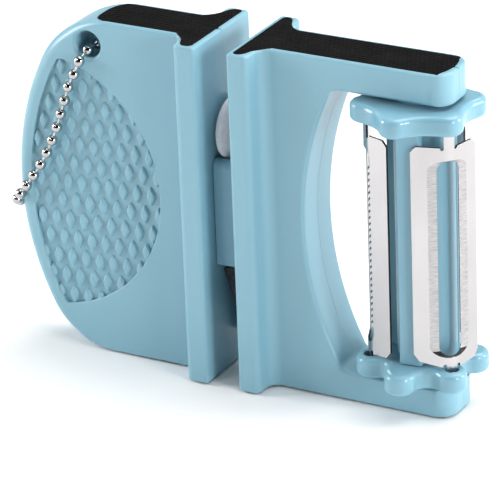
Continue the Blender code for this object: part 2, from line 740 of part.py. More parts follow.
# ---------------------------------------------------------------- ball chain
def chain_line():
    """The chain's middle line, from the connector up the back, through the hole, down the front,
    round the handle's end and up the back to the connector again."""
    hx, hz = CHAIN_HOLE
    y = WEB_Y + BEAD_R + FIT
    front = [(hx - 0.1, -2.6, hz - 1.2), (hx - 0.5, -4.9, hz - 1.45), (hx - 0.9, -y + 0.2, hz - 2.65),
             (-32.3, -y - 0.05, 61.8), (-33.15, -y, 60.1), (-34.4, -y, 57.7), (-36.2, -y, 52.6), (-38.4, -y, 46.7),
             (-41.2, -y, 41.0), (-44.3, -y, 36.3), (-47.1, -y + 0.4, 32.7), (-49.5, -y + 2.0, 30.0),
             (-50.6, -y + 4.5, 28.3)]
    start, stop = connector_ends()
    out = [start, (-35.3, y + 0.1, 58.6), (-33.2, y + 0.1, 62.1), (hx - 0.7, y + 0.3, hz - 2.1)]
    out += [(hx - 0.1, 5.6, hz - 1.1), (hx, 3.0, hz - 1.1), (hx, 0.0, hz - 1.1)]
    out += front + [(-51.05, 0.0, 27.7)]
    out += [(x, -yy, z + 0.3) for x, yy, z in reversed(front[8:])]
    return out + [stop]


def connector_ends():
    """The two ends of the connector's bore, on the back of the handle."""
    y = WEB_Y + 1.85 + FIT
    upper, lower = Vector((-36.63, y, 54.65)), Vector((-39.23, y, 48.35))
    middle = (upper + lower) / 2
    step = (upper - lower).normalized() * (BEAD_PITCH / 2)
    return tuple(middle + step), tuple(middle - step)


def spline(points, per):
    """An open Catmull-Rom curve through the points."""
    ends = [Vector(points[0]) * 2 - Vector(points[1])] + [Vector(p) for p in points]
    ends.append(ends[-1] * 2 - ends[-2])
    out = []
    for i in range(len(points) - 1):
        a, b, c, d = ends[i:i + 4]
        for k in range(per):
            t = k / per
            out.append(0.5 * (2 * b + (c - a) * t + (2 * a - 5 * b + 4 * c - d) * t * t
                              + (3 * b - a - 3 * c + d) * t ** 3))
    return out + [Vector(points[-1])]


def make_chain():
    """Hollow beads on short links, swept as one body along the line."""
    line = spline(chain_line(), 12)
    lengths = [0.0]
    for a, b in zip(line, line[1:]):
        lengths.append(lengths[-1] + (b - a).length)
    total = lengths[-1]
    beads = round(total / BEAD_PITCH)
    pitch = total / beads
    stations = []
    for k in range(beads + 1):
        for step, radius in ((-1.15, LINK_R), (-0.8, 0.9), (0.0, BEAD_R), (0.8, 0.9), (1.15, LINK_R)):
            stations.append((k * pitch + step, radius))

    def point_at(s):
        if s <= 0:
            return line[0] + (line[0] - line[1]).normalized() * -s
        if s >= total:
            return line[-1] + (line[-1] - line[-2]).normalized() * (s - total)
        i = max(j for j in range(len(lengths) - 1) if lengths[j] <= s)
        t = (s - lengths[i]) / (lengths[i + 1] - lengths[i])
        return line[i].lerp(line[i + 1], t)

    rings = []
    up = Vector((0, 1, 0))
    for s, radius in stations:
        at = point_at(s)
        tangent = (point_at(s + 0.4) - point_at(s - 0.4)).normalized()
        across = (up - tangent * up.dot(tangent)).normalized()
        up = across
        other = tangent.cross(across)
        ring = []
        for k in range(CHAIN_SIDES):
            a = 2 * math.pi * k / CHAIN_SIDES
            ring.append(at + (across * math.cos(a) + other * math.sin(a)) * radius)
        rings.append(ring)
    finish(loft("chain", rings), "ball_chain", "nickel", 60)


def make_connector():
    """A thin sleeve that holds the chain's two end beads."""
    start, stop = (Vector(p) for p in connector_ends())
    middle = (start + stop) / 2
    axis = (start - stop).normalized()
    across = Vector((0, 1, 0))
    other = axis.cross(across)
    profile = ((1.5, -3.3), (1.85, -3.3), (1.85, 3.3), (1.5, 3.3))
    steps = 16
    points, faces = [], []
    for k in range(steps):
        a = 2 * math.pi * k / steps
        turn = across * math.cos(a) + other * math.sin(a)
        points += [middle + axis * s + turn * r for r, s in profile]
    for k in range(steps):
        n = (k + 1) % steps
        for i in range(4):
            j = (i + 1) % 4
            faces.append((k * 4 + i, k * 4 + j, n * 4 + j, n * 4 + i))
    finish(build("connector", points, faces), "chain_connector", "nickel")


# ---------------------------------------------------------------- everything
def main():
    clear()
    make_handle()
    make_frame()
    make_pads()
    make_core_block()
    make_wheels()
    make_cutters()
    make_turret()
    make_chain()
    make_connector()


main()
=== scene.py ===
"""Looks of a pocket knife sharpener with a rotary peeler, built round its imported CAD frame.

Shapes are worked out in millimetres, with X from the middle of the knife slot, Y from the parting
plane and Z from the underside of the plastic, and are then put in place in metres.
"""
import math

import bmesh
import bpy
import numpy as np
from mathutils import Matrix, Vector


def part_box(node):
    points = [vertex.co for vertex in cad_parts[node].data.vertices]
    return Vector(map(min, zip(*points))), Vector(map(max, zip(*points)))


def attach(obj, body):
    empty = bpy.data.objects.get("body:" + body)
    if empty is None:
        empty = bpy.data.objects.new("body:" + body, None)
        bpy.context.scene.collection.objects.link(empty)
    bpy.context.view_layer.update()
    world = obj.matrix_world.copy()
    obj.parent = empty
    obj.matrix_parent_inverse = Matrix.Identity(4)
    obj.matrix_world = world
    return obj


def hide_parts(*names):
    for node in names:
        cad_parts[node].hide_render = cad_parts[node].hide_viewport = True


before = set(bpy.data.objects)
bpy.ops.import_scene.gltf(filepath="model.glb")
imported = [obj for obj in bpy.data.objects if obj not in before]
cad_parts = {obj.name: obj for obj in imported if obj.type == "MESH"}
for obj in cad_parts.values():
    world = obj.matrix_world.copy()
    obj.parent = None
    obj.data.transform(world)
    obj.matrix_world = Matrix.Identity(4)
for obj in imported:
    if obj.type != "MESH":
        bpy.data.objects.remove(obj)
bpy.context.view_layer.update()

MM = 0.001

# ---------------------------------------------------------------- places and sizes, in millimetres
block_low, block_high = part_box("core_block")
frame_low, frame_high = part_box("frame_front_shell")
SLOT_X = (block_low.x + block_high.x) / 2 / MM
FLOOR_Z = frame_low.z / MM
HEIGHT = (frame_high.z - frame_low.z) / MM
SLOT_W = 7.0
WEB_Y = 6.0
FLANGE_Y = -frame_low.y / MM
HANDLE_FLANGE_X = -8.4
FRAME_FLANGE_X = 8.1
FRAME_END_X = frame_high.x / MM - SLOT_X
FRAME_END_R = 4.0
EDGE_R = 0.6                # the plastic's rounded top and bottom edges
SLOT_EDGE_R = 0.8           # the flanges' corners at the knife slot, on their far side and at the plate
FLANGE_EDGE_R = 1.5
FILLET_R = 2.6
SEAM = 0.02                 # half the width of the parting line
SNUG = 0.05                 # visible gap round a piece let into the plastic

D_ARC_R = 59.06
D_ARC_C = (10.11, 34.4)
D_TOP_R = 18.87
D_BOTTOM_R = 14.37
D_EDGE_R = 2.4
CHAIN_HOLE = (-30.65, 66.2)
CHAIN_HOLE_R = 2.75

GRIP_OUTER_R = 55.4
GRIP_INNER_C = (-42.9, 35.8)
GRIP_INNER_R = 27.2
GRIP_DEPTH = 0.75
LOZENGE_PITCH = (3.2, 4.15)
LOZENGE_AT = (-27.6, 44.15)
LOZENGE_HALF = (1.06, 2.02)

BLOCK_Z = (24.0, 46.4)
BLOCK_Y = 6.1
BLOCK_CORNER_R = 1.6
TONGUE = (6.0, 3.7, 27.0, 43.0)     # half length, half depth, low and high ends
WHEEL_Z = 51.5
WHEEL_R = 6.35
AXLE_R = 1.5
AXLE_REACH = 6.3
CUTTER_APEX = (0.0, 12.0)
CUTTER_LEAN = 17.0
CUTTER_Y = (2.1, 3.7)

OPEN_Z = (6.2, 65.2)
OPEN_WALL_X = 16.4
OPEN_WALL_R = 64.7

TURRET_X = 38.67
STUB_R = 2.5
STUB_LENGTH = 3.2
COLLAR_R = 4.2
CORE_PIN_R = 2.6
PETAL_AT = 9.9
PETAL_R = 3.1
VALLEY_TOP = (19.45, 8.85)
VALLEY_BOTTOM = (11.03, 2.43)
PIVOT_AT = 10.2
PIVOT_HOLE_R = 1.35
KNOB_TOP_Z = (60.1, 64.2)
KNOB_BOTTOM_Z = (6.5, 10.8)
CORE_R = 7.1
CORE_TIP_HALF = 2.3
CORE_TIP_CORNER = 0.45
CORE_TURN = 7.0
CORE_TURNS = (-34, -26, -18, -9, 0, 9, 18, 26, 34)
CORE_HOLLOW = (5.0, 4.92, 4.86, 4.82, 4.8, 4.82, 4.86, 4.92, 5.0)
CORE_LOBE = (5.7, 6.15, 6.5, 6.8, 7.0, 7.1, 7.12, 7.12, 7.1)
BLADE_T = 0.5
BLADE_Z = (11.15, 57.3)
BLADE_ARCH_R = 4.0
BLADE_LEG_ANGLE = 30.0
SLOT_HALF = 2.45
BLADE_SLOT_Z = (13.7, 54.4)
# node, pivot azimuth, facing azimuth, half widths, right-hand slot half width, tooth pitch and depth
BLADES = (
    ("peeler_blade", 60.0, 46.0, (7.4, 7.0), 2.45, 0.0, 0.0),
    ("serrated_blade", -60.0, -47.0, (6.3, 6.3), 1.0, 1.3, 0.5),
    ("julienne_blade", 180.0, 180.0, (6.9, 6.9), 2.45, 3.0, 1.2),
)

PAD_PROUD = 0.1
PAD_SUNK = 0.8
HANDLE_PAD = (
    (-30.2, 0.9), (-29.8, 2.8), (-29.0, 4.0), (-27.8, 4.8), (-26.2, 5.2), (-12.0, 5.2), (-10.6, 5.5),
    (-9.5, 6.15), (-8.6, 7.1), (-7.9, 8.3), (-7.35, 9.6), (-6.9, 10.3), (-6.3, 10.75), (-5.3, 10.75),
    (-4.8, 10.5), (-4.5, 9.9),
)
FRAME_PAD = (
    (4.5, 9.9), (4.8, 10.5), (5.3, 10.75), (5.9, 10.75), (6.5, 10.3), (7.0, 9.6), (7.5, 8.3), (8.2, 7.1),
    (9.1, 6.15), (10.2, 5.5), (11.6, 5.2), (42.8, 5.2), (44.3, 4.8), (45.4, 4.0), (46.1, 2.8), (46.4, 0.9),
)

BEAD_R = 1.2                # the room a bead takes in the drape
BEAD_BALL_R, BEAD_LIP_R, BEAD_WIRE_R = 1.12, 0.40, 0.27
BEAD_PITCH = 3.2
CLASP_R = 1.85
CLASP_WALL = 0.24
CHAIN_GAP = 0.30            # from the chain to the plastic it lies on


# ---------------------------------------------------------------- mesh helpers
def place(point):
    return Vector(((point[0] + SLOT_X) * MM, point[1] * MM, (point[2] + FLOOR_Z) * MM))


def link(obj):
    bpy.context.scene.collection.objects.link(obj)
    return obj


def build(name, points, faces):
    """A mesh object from points in millimetres, with its faces turned outwards."""
    mesh = bpy.data.meshes.new(name)
    mesh.from_pydata([place(p) for p in points], [], faces)
    obj = link(bpy.data.objects.new(name, mesh))
    bm = bmesh.new()
    bm.from_mesh(mesh)
    bmesh.ops.recalc_face_normals(bm, faces=bm.faces)
    bm.to_mesh(mesh)
    bm.free()
    return obj


def skin(count, rows, first=0, closed=False):
    """Quads between rings of points; closed also joins the last ring to the first."""
    faces = []
    for r in range(rows if closed else rows - 1):
        a, b = first + r * count, first + (r + 1) % rows * count
        for i in range(count):
            j = (i + 1) % count
            faces.append((a + i, a + j, b + j, b + i))
    return faces


def caps(count, total, first=0):
    """The two end faces of rings of points."""
    return [tuple(range(first, first + count)), tuple(range(total - count, total))]


def loft(name, rings):
    """A closed solid through rings of equal length, capped at both ends."""
    count = len(rings[0])
    assert all(len(ring) == count for ring in rings), name
    points = [p for ring in rings for p in ring]
    return build(name, points, caps(count, len(points)) + skin(count, len(rings)))


def along(axis, outline, value):
    if axis == "X":
        return [(value, a, b) for a, b in outline]
    if axis == "Y":
        return [(a, value, b) for a, b in outline]
    return [(a, b, value) for a, b in outline]


def prism(axis, outline, low, high):
    return loft("prism", [along(axis, outline, low), along(axis, outline, high)])


def box(low, high):
    return prism("Z", [(low[0], low[1]), (high[0], low[1]), (high[0], high[1]), (low[0], high[1])],
                 low[2], high[2])


def polar(centre, radius, degrees):
    a = math.radians(degrees)
    return centre[0] + radius * math.cos(a), centre[1] + radius * math.sin(a)


def arc(centre, radius, start, stop, steps):
    return [polar(centre, radius, start + (stop - start) * k / steps) for k in range(steps + 1)]


def circle(centre, radius, steps):
    return arc(centre, radius, 0, 360 - 360 / steps, steps - 1)


def offset(outline, distance):
    """The outline moved outwards by a distance, corner by corner."""
    area = sum(a[0] * b[1] - b[0] * a[1] for a, b in zip(outline, outline[1:] + outline[:1]))
    turn = 1 if area > 0 else -1
    out = []
    for i, here in enumerate(outline):
        before, after = Vector(outline[i - 1]), Vector(outline[(i + 1) % len(outline)])
        here = Vector(here)
        a, b = (here - before).normalized(), (after - here).normalized()
        na, nb = Vector((a.y, -a.x)) * turn, Vector((b.y, -b.x)) * turn
        middle = na + nb
        if middle.length < 1e-6:
            middle = na
        middle.normalize()
        out.append(tuple(here + middle * distance / max(0.4, middle.dot(na))))
    return out


def drop(obj):
    mesh = obj.data
    bpy.data.objects.remove(obj)
    bpy.data.meshes.remove(mesh)


def bake(obj):
    """Applies the object's modifiers to its mesh."""
    graph = bpy.context.evaluated_depsgraph_get()
    mesh = bpy.data.meshes.new_from_object(obj.evaluated_get(graph))
    old = obj.data
    obj.modifiers.clear()
    obj.data = mesh
    bpy.data.meshes.remove(old)


def combine(target, tool, operation):
    step = target.modifiers.new("combine", "BOOLEAN")
    step.operation = operation
    step.solver = "EXACT"
    step.object = tool
    bake(target)
    drop(tool)
    return target


def cut(target, tool):
    combine(target, tool, "DIFFERENCE")


def join(target, tool):
    combine(target, tool, "UNION")


def mirrored(obj, name):
    """A copy mirrored over the parting plane."""
    mesh = obj.data.copy()
    mesh.transform(Matrix.Scale(-1, 4, (0, 1, 0)))
    mesh.flip_normals()
    return link(bpy.data.objects.new(name, mesh))


def soften(obj, width):
    """Small rounds on the sharp edges."""
    step = obj.modifiers.new("rounds", "BEVEL")
    step.width = width * MM
    step.segments = 2
    step.limit_method = "ANGLE"
    step.angle_limit = math.radians(38.0)
    bake(obj)


def finish_piece(obj, name, look, body, node, smooth):
    """Names the piece, dresses it, hangs it on its body and hides the CAD part it takes the place of."""
    obj.name = name
    obj.data.name = name
    obj.data.materials.clear()
    obj.data.materials.append(look)
    obj.data.shade_smooth()
    obj.data.set_sharp_from_angle(angle=math.radians(smooth))
    step = obj.modifiers.new("flat faces stay flat", "WEIGHTED_NORMAL")
    step.keep_sharp = True
    step.weight = 80
    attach(obj, body)
    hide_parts(node)
    return obj


# ---------------------------------------------------------------- camera, first of all
def make_camera():
    data = bpy.data.cameras.new("camera")
    data.lens = 272.537
    data.sensor_width = 36.0
    data.sensor_fit = "HORIZONTAL"
    data.clip_start = 0.01
    data.clip_end = 20.0
    camera = link(bpy.data.objects.new("camera", data))
    place_m = (0.33657358, -0.59534283, 0.3324213)
    right = Vector((0.87783433, 0.47764473, -0.03553016))
    up = Vector((-0.16597018, 0.37293319, 0.9128936))
    turned = Matrix((right, up, right.cross(up))).transposed().to_4x4()
    camera.matrix_world = Matrix.Translation(place_m) @ turned
    bpy.context.scene.camera = camera


# ---------------------------------------------------------------- materials
class Look:
    """A procedural material under construction."""

    def __init__(self, name):
        self.material = bpy.data.materials.new(name)
        self.material.use_nodes = True
        self.nodes = self.material.node_tree.nodes
        self.links = self.material.node_tree.links
        self.shader = self.nodes["Principled BSDF"]
        self.place = self.nodes.new("ShaderNodeTexCoord").outputs["Object"]

    def set(self, **values):
        for name, value in values.items():
            self.shader.inputs[name.replace("_", " ")].default_value = value

    def stretch(self, scale):
        node = self.nodes.new("ShaderNodeMapping")
        node.inputs["Scale"].default_value = scale
        self.links.new(self.place, node.inputs["Vector"])
        return node.outputs["Vector"]

    def noise(self, scale, detail=2.0, roughness=0.5, vector=None):
        node = self.nodes.new("ShaderNodeTexNoise")
        node.inputs["Scale"].default_value = scale
        node.inputs["Detail"].default_value = detail
        node.inputs["Roughness"].default_value = roughness
        self.links.new(vector or self.place, node.inputs["Vector"])
        return node.outputs["Fac"]

    def spread(self, value, low, high, start=0.3, stop=0.7):
        node = self.nodes.new("ShaderNodeMapRange")
        for name, number in (("From Min", start), ("From Max", stop), ("To Min", low), ("To Max", high)):
            node.inputs[name].default_value = number
        self.links.new(value, node.inputs["Value"])
        return node.outputs["Result"]

    def colours(self, value, first, second, start=0.3, stop=0.7):
        node = self.nodes.new("ShaderNodeValToRGB")
        node.color_ramp.elements[0].position = start
        node.color_ramp.elements[1].position = stop
        node.color_ramp.elements[0].color = (*first, 1.0)
        node.color_ramp.elements[1].color = (*second, 1.0)
        self.links.new(value, node.inputs["Fac"])
        self.links.new(node.outputs["Color"], self.shader.inputs["Base Color"])

    def roughness(self, value, low, high):
        self.links.new(self.spread(value, low, high), self.shader.inputs["Roughness"])

    def bumps(self, *layers, edge=0.0):
        """Stacks bump layers of (height, depth in mm, strength) on a soft-edged normal."""
        normal = None
        if edge:
            node = self.nodes.new("ShaderNodeBevel")
            node.samples = 6
            node.inputs["Radius"].default_value = edge * MM
            normal = node.outputs["Normal"]
        for height, depth, strength in layers:
            node = self.nodes.new("ShaderNodeBump")
            node.inputs["Distance"].default_value = depth * MM
            node.inputs["Strength"].default_value = strength
            self.links.new(height, node.inputs["Height"])
            if normal:
                self.links.new(normal, node.inputs["Normal"])
            normal = node.outputs["Normal"]
        self.links.new(normal, self.shader.inputs["Normal"])


def plastic_look(name, first, second, rough, edge, scatter):
    look = Look(name)
    grain = look.noise(1800.0, 2.0, 0.5)
    look.colours(grain, first, second)
    look.roughness(grain, *rough)
    look.set(IOR=1.49, Subsurface_Weight=scatter, Subsurface_Scale=0.0016)
    look.shader.inputs["Subsurface Radius"].default_value = (0.5, 0.9, 1.0)
    look.bumps((grain, 0.002, 0.12), edge=edge)
    return look.material


def rubber_look():
    look = Look("black rubber")
    look.colours(look.noise(260.0, 4.0, 0.6), (0.0035, 0.0035, 0.004), (0.008, 0.0075, 0.008))
    look.roughness(look.noise(900.0, 3.0), 0.5, 0.7)
    look.set(IOR=1.45, Specular_IOR_Level=0.07)
    look.bumps((look.noise(5200.0, 3.0, 0.65), 0.02, 0.4))
    return look.material


def ceramic_look():
    look = Look("ceramic")
    grit = look.noise(5200.0, 4.0, 0.75)
    look.colours(look.noise(1400.0, 4.0, 0.7), (0.62, 0.62, 0.66), (0.76, 0.76, 0.79))
    look.roughness(grit, 0.55, 0.8)
    look.bumps((grit, 0.03, 0.6))
    return look.material


def carbide_look():
    look = Look("carbide")
    hone = look.noise(900.0, 3.0, 0.6, look.stretch((1.0, 1.0, 9.0)))
    look.colours(look.noise(1200.0, 3.0), (0.035, 0.036, 0.04), (0.07, 0.07, 0.075))
    look.roughness(hone, 0.28, 0.45)
    look.set(Metallic=0.8)
    look.bumps((hone, 0.008, 0.4), edge=0.08)
    return look.material


def polished_steel_look():
    look = Look("polished steel")
    grain = look.noise(420.0, 4.0, 0.65, look.stretch((6.0, 6.0, 0.35)))
    look.colours(look.noise(90.0, 3.0), (0.53, 0.515, 0.52), (0.58, 0.565, 0.57))
    look.roughness(grain, 0.16, 0.27)
    look.set(Metallic=1.0)
    look.bumps((grain, 0.004, 0.35), edge=0.06)
    return look.material


def ground_steel_look():
    """The cutting bevels, with fine grinding marks that run across the edge."""
    look = Look("ground steel")
    marks = look.noise(1150.0, 3.0, 0.7, look.stretch((0.4, 0.4, 6.0)))
    look.colours(marks, (0.33, 0.32, 0.325), (0.58, 0.57, 0.57), 0.34, 0.66)
    look.roughness(marks, 0.28, 0.42)
    look.set(Metallic=1.0)
    look.bumps((marks, 0.012, 0.5))
    return look.material


def edge_shade_look():
    """The blades' narrow cut edges and the ends of their slots: rough, and painted near black as shade for the
    dark outlines and shaded corners there.
    """
    look = Look("blade edges painted dark as shade")
    tear = look.noise(2400.0, 3.0, 0.6)
    # Painted shade: these near-black colours stand for the shade on the edges, not for the steel's own colour.
    look.colours(tear, (0.018, 0.019, 0.021), (0.045, 0.047, 0.05))
    look.roughness(tear, 0.35, 0.6)
    look.set(Metallic=0.85)
    look.bumps((tear, 0.01, 0.5))
    return look.material


def nickel_look():
    look = Look("plated beads")
    # Partly painted shade: plated metal, with its colour set darker than bright nickel to stand for the dark
    # surroundings the beads reflect.
    look.colours(look.noise(300.0, 2.0), (0.44, 0.44, 0.44), (0.51, 0.50, 0.50))
    look.roughness(look.noise(1500.0, 3.0), 0.04, 0.11)
    look.set(Metallic=1.0)
    look.bumps((look.noise(700.0, 2.0), 0.006, 0.4))
    return look.material


def floor_look():
    look = Look("pale floor")
    look.colours(look.noise(30.0, 2.0), (0.90, 0.90, 0.90), (0.92, 0.92, 0.92))
    look.roughness(look.noise(200.0, 2.0), 0.75, 0.85)
    look.bumps((look.noise(900.0, 2.0), 0.02, 0.1))
    return look.material


SHELL_BLUE = plastic_look("moulded blue plastic", (0.216, 0.416, 0.508), (0.218, 0.419, 0.511),
                          (0.29, 0.31), 0.18, 0.12)
KNOB_BLUE = plastic_look("glossy blue plastic", (0.208, 0.408, 0.503), (0.212, 0.414, 0.510),
                         (0.11, 0.13), 0.12, 0.3)
BLOCK_BLUE = plastic_look("block blue plastic", (0.190, 0.378, 0.474), (0.193, 0.382, 0.479),
                          (0.33, 0.37), 0.15, 0.12)
RUBBER = rubber_look()
CERAMIC = ceramic_look()
CARBIDE = carbide_look()
STEEL = polished_steel_look()
GROUND = ground_steel_look()
# Painted shade: near-black blade edges and slot ends.
EDGE_SHADE = edge_shade_look()
NICKEL = nickel_look()


# ---------------------------------------------------------------- ball chain, a cord
def connector_ends():
    """Where the end beads sit: half a pitch either side of the clasp's middle, on the handle's back."""
    y = WEB_Y + CLASP_R + CHAIN_GAP
    upper, lower = Vector((-36.63, y, 54.65)), Vector((-39.23, y, 48.35))
    middle = (upper + lower) / 2
    step = (upper - lower).normalized() * (BEAD_PITCH / 2)
    return tuple(middle + step), tuple(middle - step)


def chain_line():
    """The chain's middle line, from the connector up the back, through the hole, down the front,
    round the handle's end and up the back to the connector again."""
    hx, hz = CHAIN_HOLE
    y = WEB_Y + BEAD_R + CHAIN_GAP
    front = [(hx - 0.1, -2.6, hz - 1.2), (hx - 0.5, -4.9, hz - 1.45), (hx - 0.9, -y + 0.2, hz - 2.65),
             (-32.3, -y - 0.05, 61.8), (-33.15, -y, 60.1), (-34.4, -y, 57.7), (-36.2, -y, 52.6),
             (-38.4, -y, 46.7), (-41.2, -y, 41.0), (-44.3, -y, 36.3), (-47.1, -y + 0.4, 32.7),
             (-49.5, -y + 2.0, 30.0), (-50.6, -y + 4.5, 28.3)]
    start, stop = connector_ends()
    out = [start, (-35.3, y + 0.1, 58.6), (-33.2, y + 0.1, 62.1), (hx - 0.7, y + 0.3, hz - 2.1)]
    out += [(hx - 0.1, 5.6, hz - 1.1), (hx, 3.0, hz - 1.1), (hx, 0.0, hz - 1.1)]
    out += front + [(-51.05, 0.0, 27.7)]
    out += [(x, -front_y, z + 0.3) for x, front_y, z in reversed(front[8:])]
    return out + [stop]


def spline(points, per):
    """An open Catmull-Rom curve through the points."""
    ends = [Vector(points[0]) * 2 - Vector(points[1])] + [Vector(p) for p in points]
    ends.append(ends[-1] * 2 - ends[-2])
    out = []
    for i in range(len(points) - 1):
        a, b, c, d = ends[i:i + 4]
        for k in range(per):
            t = k / per
            out.append(0.5 * (2 * b + (c - a) * t + (2 * a - 5 * b + 4 * c - d) * t * t
                              + (3 * b - a - 3 * c + d) * t ** 3))
    return out + [Vector(points[-1])]


def make_chain():
    """Hollow beads with a rolled lip round each hole, on thin links, swept along the line."""
    line = spline(chain_line(), 24)
    lengths = [0.0]
    for a, b in zip(line, line[1:]):
        lengths.append(lengths[-1] + (b - a).length)
    total = lengths[-1]
    beads = round(total / BEAD_PITCH)
    pitch = total / beads
    radius, lip, wire = BEAD_BALL_R, BEAD_LIP_R, BEAD_WIRE_R
    lip_at = math.sqrt(radius ** 2 - lip ** 2)
    bead = [(-lip_at - 0.12, wire), (-lip_at - 0.02, wire), (-lip_at - 0.03, lip - 0.08)]
    tilt = math.degrees(math.asin(lip / radius))
    for k in range(15):
        a = math.radians(-90 + tilt + (180 - 2 * tilt) * k / 14)
        bead.append((radius * math.sin(a), radius * math.cos(a)))
    bead += [(-s, r) for s, r in reversed(bead[:3])]
    stations = []
    for k in range(beads + 1):
        stations += [(k * pitch + s, r) for s, r in bead]

    def point_at(s):
        if s <= 0:
            return line[0] + (line[0] - line[1]).normalized() * -s
        if s >= total:
            return line[-1] + (line[-1] - line[-2]).normalized() * (s - total)
        i = min(int(np.searchsorted(lengths, s, side="right")) - 1, len(lengths) - 2)
        return line[i].lerp(line[i + 1], (s - lengths[i]) / (lengths[i + 1] - lengths[i]))

    rings, path = [], []
    up, sides = Vector((0, 1, 0)), 24
    for s, r in stations:
        at = point_at(s)
        tangent = (point_at(s + 0.4) - point_at(s - 0.4)).normalized()
        across = (up - tangent * up.dot(tangent)).normalized()
        up = across
        other = tangent.cross(across)
        rings.append([at + (across * math.cos(2 * math.pi * k / sides)
                            + other * math.sin(2 * math.pi * k / sides)) * r for k in range(sides)])
        path.append(tuple(place(at)))
    chain = loft("chain", rings)
    finish_piece(chain, "bead_chain", NICKEL, "body", "ball_chain", 50)
    return chain, path, total


def make_connector():
    """A thin rolled sleeve with flared ends, a slot down its side and a seat for each end bead."""
    start, stop = (Vector(p) for p in connector_ends())
    middle = (start + stop) / 2
    axis = (start - stop).normalized()
    across = Vector((0, 1, 0))
    other = axis.cross(across)
    outer = [(1.78, -3.3), (1.84, -3.22), (CLASP_R, -3.05), (1.74, -2.8), (1.70, -2.2), (1.78, -1.6),
             (1.70, -0.9), (1.66, 0.0)]
    outer += [(r, -s) for r, s in reversed(outer[:-1])]
    inner = [(r - CLASP_WALL, s) for r, s in reversed(outer)]
    profile = outer + inner
    steps, count = 56, len(profile)
    points = []
    for k in range(steps + 1):
        a = math.radians(12 + 336 * k / steps)
        turn = across * math.cos(a) + other * math.sin(a)
        points += [middle + axis * s + turn * r for r, s in profile]
    sleeve = build("connector", points, skin(count, steps + 1) + caps(count, len(points)))
    return finish_piece(sleeve, "chain_sleeve", NICKEL, "body", "chain_connector", 50)


# ---------------------------------------------------------------- outlines shared by several pieces
def handle_arcs():
    """The joints of the D-shaped outline: the two corner circles and where the big arc meets them."""
    cx, cz = D_ARC_C
    top_z, low_z = HEIGHT - D_TOP_R, D_BOTTOM_R
    top_x = cx - math.sqrt((D_ARC_R - D_TOP_R) ** 2 - (top_z - cz) ** 2)
    low_x = cx - math.sqrt((D_ARC_R - D_BOTTOM_R) ** 2 - (low_z - cz) ** 2)
    top_a = math.degrees(math.atan2(top_z - cz, top_x - cx))
    low_a = math.degrees(math.atan2(low_z - cz, low_x - cx)) % 360
    return (top_x, top_z), (low_x, low_z), top_a, low_a


def handle_outline():
    """The D-shaped outline from top right to bottom right, with outward angles and edge rounds."""
    top, low, top_a, low_a = handle_arcs()
    runs = ((top, D_TOP_R, 90.0, top_a, 26), (D_ARC_C, D_ARC_R, top_a, low_a, 40),
            (low, D_BOTTOM_R, low_a, 270.0, 24))
    right = -6.0                # inside the flange
    points, angles = [(right, HEIGHT)], [90.0]
    for n, (centre, radius, start, stop, steps) in enumerate(runs):
        for k in range(1 if n else 0, steps + 1):
            a = start + (stop - start) * k / steps
            angles.append(a)
            points.append(polar(centre, radius, a))
    points.append((right, 0.0))
    angles.append(270.0)
    rounds = []
    for a in angles:
        away = min(abs(a - 90), abs(a - 270))
        rounds.append(EDGE_R + (D_EDGE_R - EDGE_R) * min(1.0, away / 35.0))
    return points, angles, rounds


TOP_CORNER, LOW_CORNER = handle_arcs()[:2]


def edge_bend(x, top):
    """How far the handle's top or bottom edge has curved away at x."""
    if x >= 0:
        return 0.0
    centre, radius = (TOP_CORNER, D_TOP_R) if top else (LOW_CORNER, D_BOTTOM_R)
    reach = min(radius, max(0.0, centre[0] - x))
    return radius - math.sqrt(radius ** 2 - reach ** 2)


def handle_plan():
    """The flange and the start of the plate in plan, front half only."""
    near, far, web = -SLOT_W / 2, HANDLE_FLANGE_X, FILLET_R + 0.3
    out = [(near, -SEAM), (near, -FLANGE_Y + SLOT_EDGE_R)]
    out += arc((near - SLOT_EDGE_R, -FLANGE_Y + SLOT_EDGE_R), SLOT_EDGE_R, 0, -90, 8)[1:]
    out += arc((far + FLANGE_EDGE_R, -FLANGE_Y + FLANGE_EDGE_R), FLANGE_EDGE_R, -90, -180, 10)
    out += arc((far - FILLET_R, -WEB_Y - FILLET_R + 0.1), FILLET_R, 0, 84, 12)
    out += [(far - web, -WEB_Y + 0.8), (far - web, -SEAM)]
    return out


def frame_plan():
    """The flange, the plate and its rounded end in plan, front half only."""
    near, far = SLOT_W / 2, FRAME_FLANGE_X
    out = [(near, -SEAM), (FRAME_END_X, -SEAM), (FRAME_END_X, -WEB_Y + FRAME_END_R)]
    out += arc((FRAME_END_X - FRAME_END_R, -WEB_Y + FRAME_END_R), FRAME_END_R, 0, -90, 16)[1:]
    out += arc((far + FILLET_R, -WEB_Y - FILLET_R), FILLET_R, 90, 180, 12)
    out += arc((far - FLANGE_EDGE_R, -FLANGE_Y + FLANGE_EDGE_R), FLANGE_EDGE_R, 0, -90, 10)
    out += arc((near + SLOT_EDGE_R, -FLANGE_Y + SLOT_EDGE_R), SLOT_EDGE_R, -90, -180, 8)
    return out


def rim_levels(low, high, radius, over=0.0, steps=5):
    """(height, inset) levels that round both ends of an upright solid."""
    rim = []
    for k in range(steps + 1):
        a = math.radians(90 * k / steps)
        rim.append((radius * (1 - math.sin(a)), radius * (1 - math.cos(a))))
    rim.reverse()
    out = [(low - over + rise, -inset) for rise, inset in rim]
    return out + [(high + over - rise, -inset) for rise, inset in reversed(rim)]


# ---------------------------------------------------------------- pads and their recesses
def pad_columns(profile, pitch):
    """Evenly spaced (x, half width) columns along a pad, with its corners smoothed."""
    smooth = [(p.x, p.y) for p in spline([(x, y, 0.0) for x, y in profile], 8)]
    xs = [smooth[0][0]]
    for x, _ in smooth[1:]:
        xs.append(max(x, xs[-1] + 1e-4))
    wides = [y for _, y in smooth]
    low, high = profile[0][0], profile[-1][0]
    count = max(2, round((high - low) / pitch))
    columns = [low + (high - low) * k / count for k in range(count + 1)]
    return [(x, float(np.interp(x, xs, wides))) for x in columns]


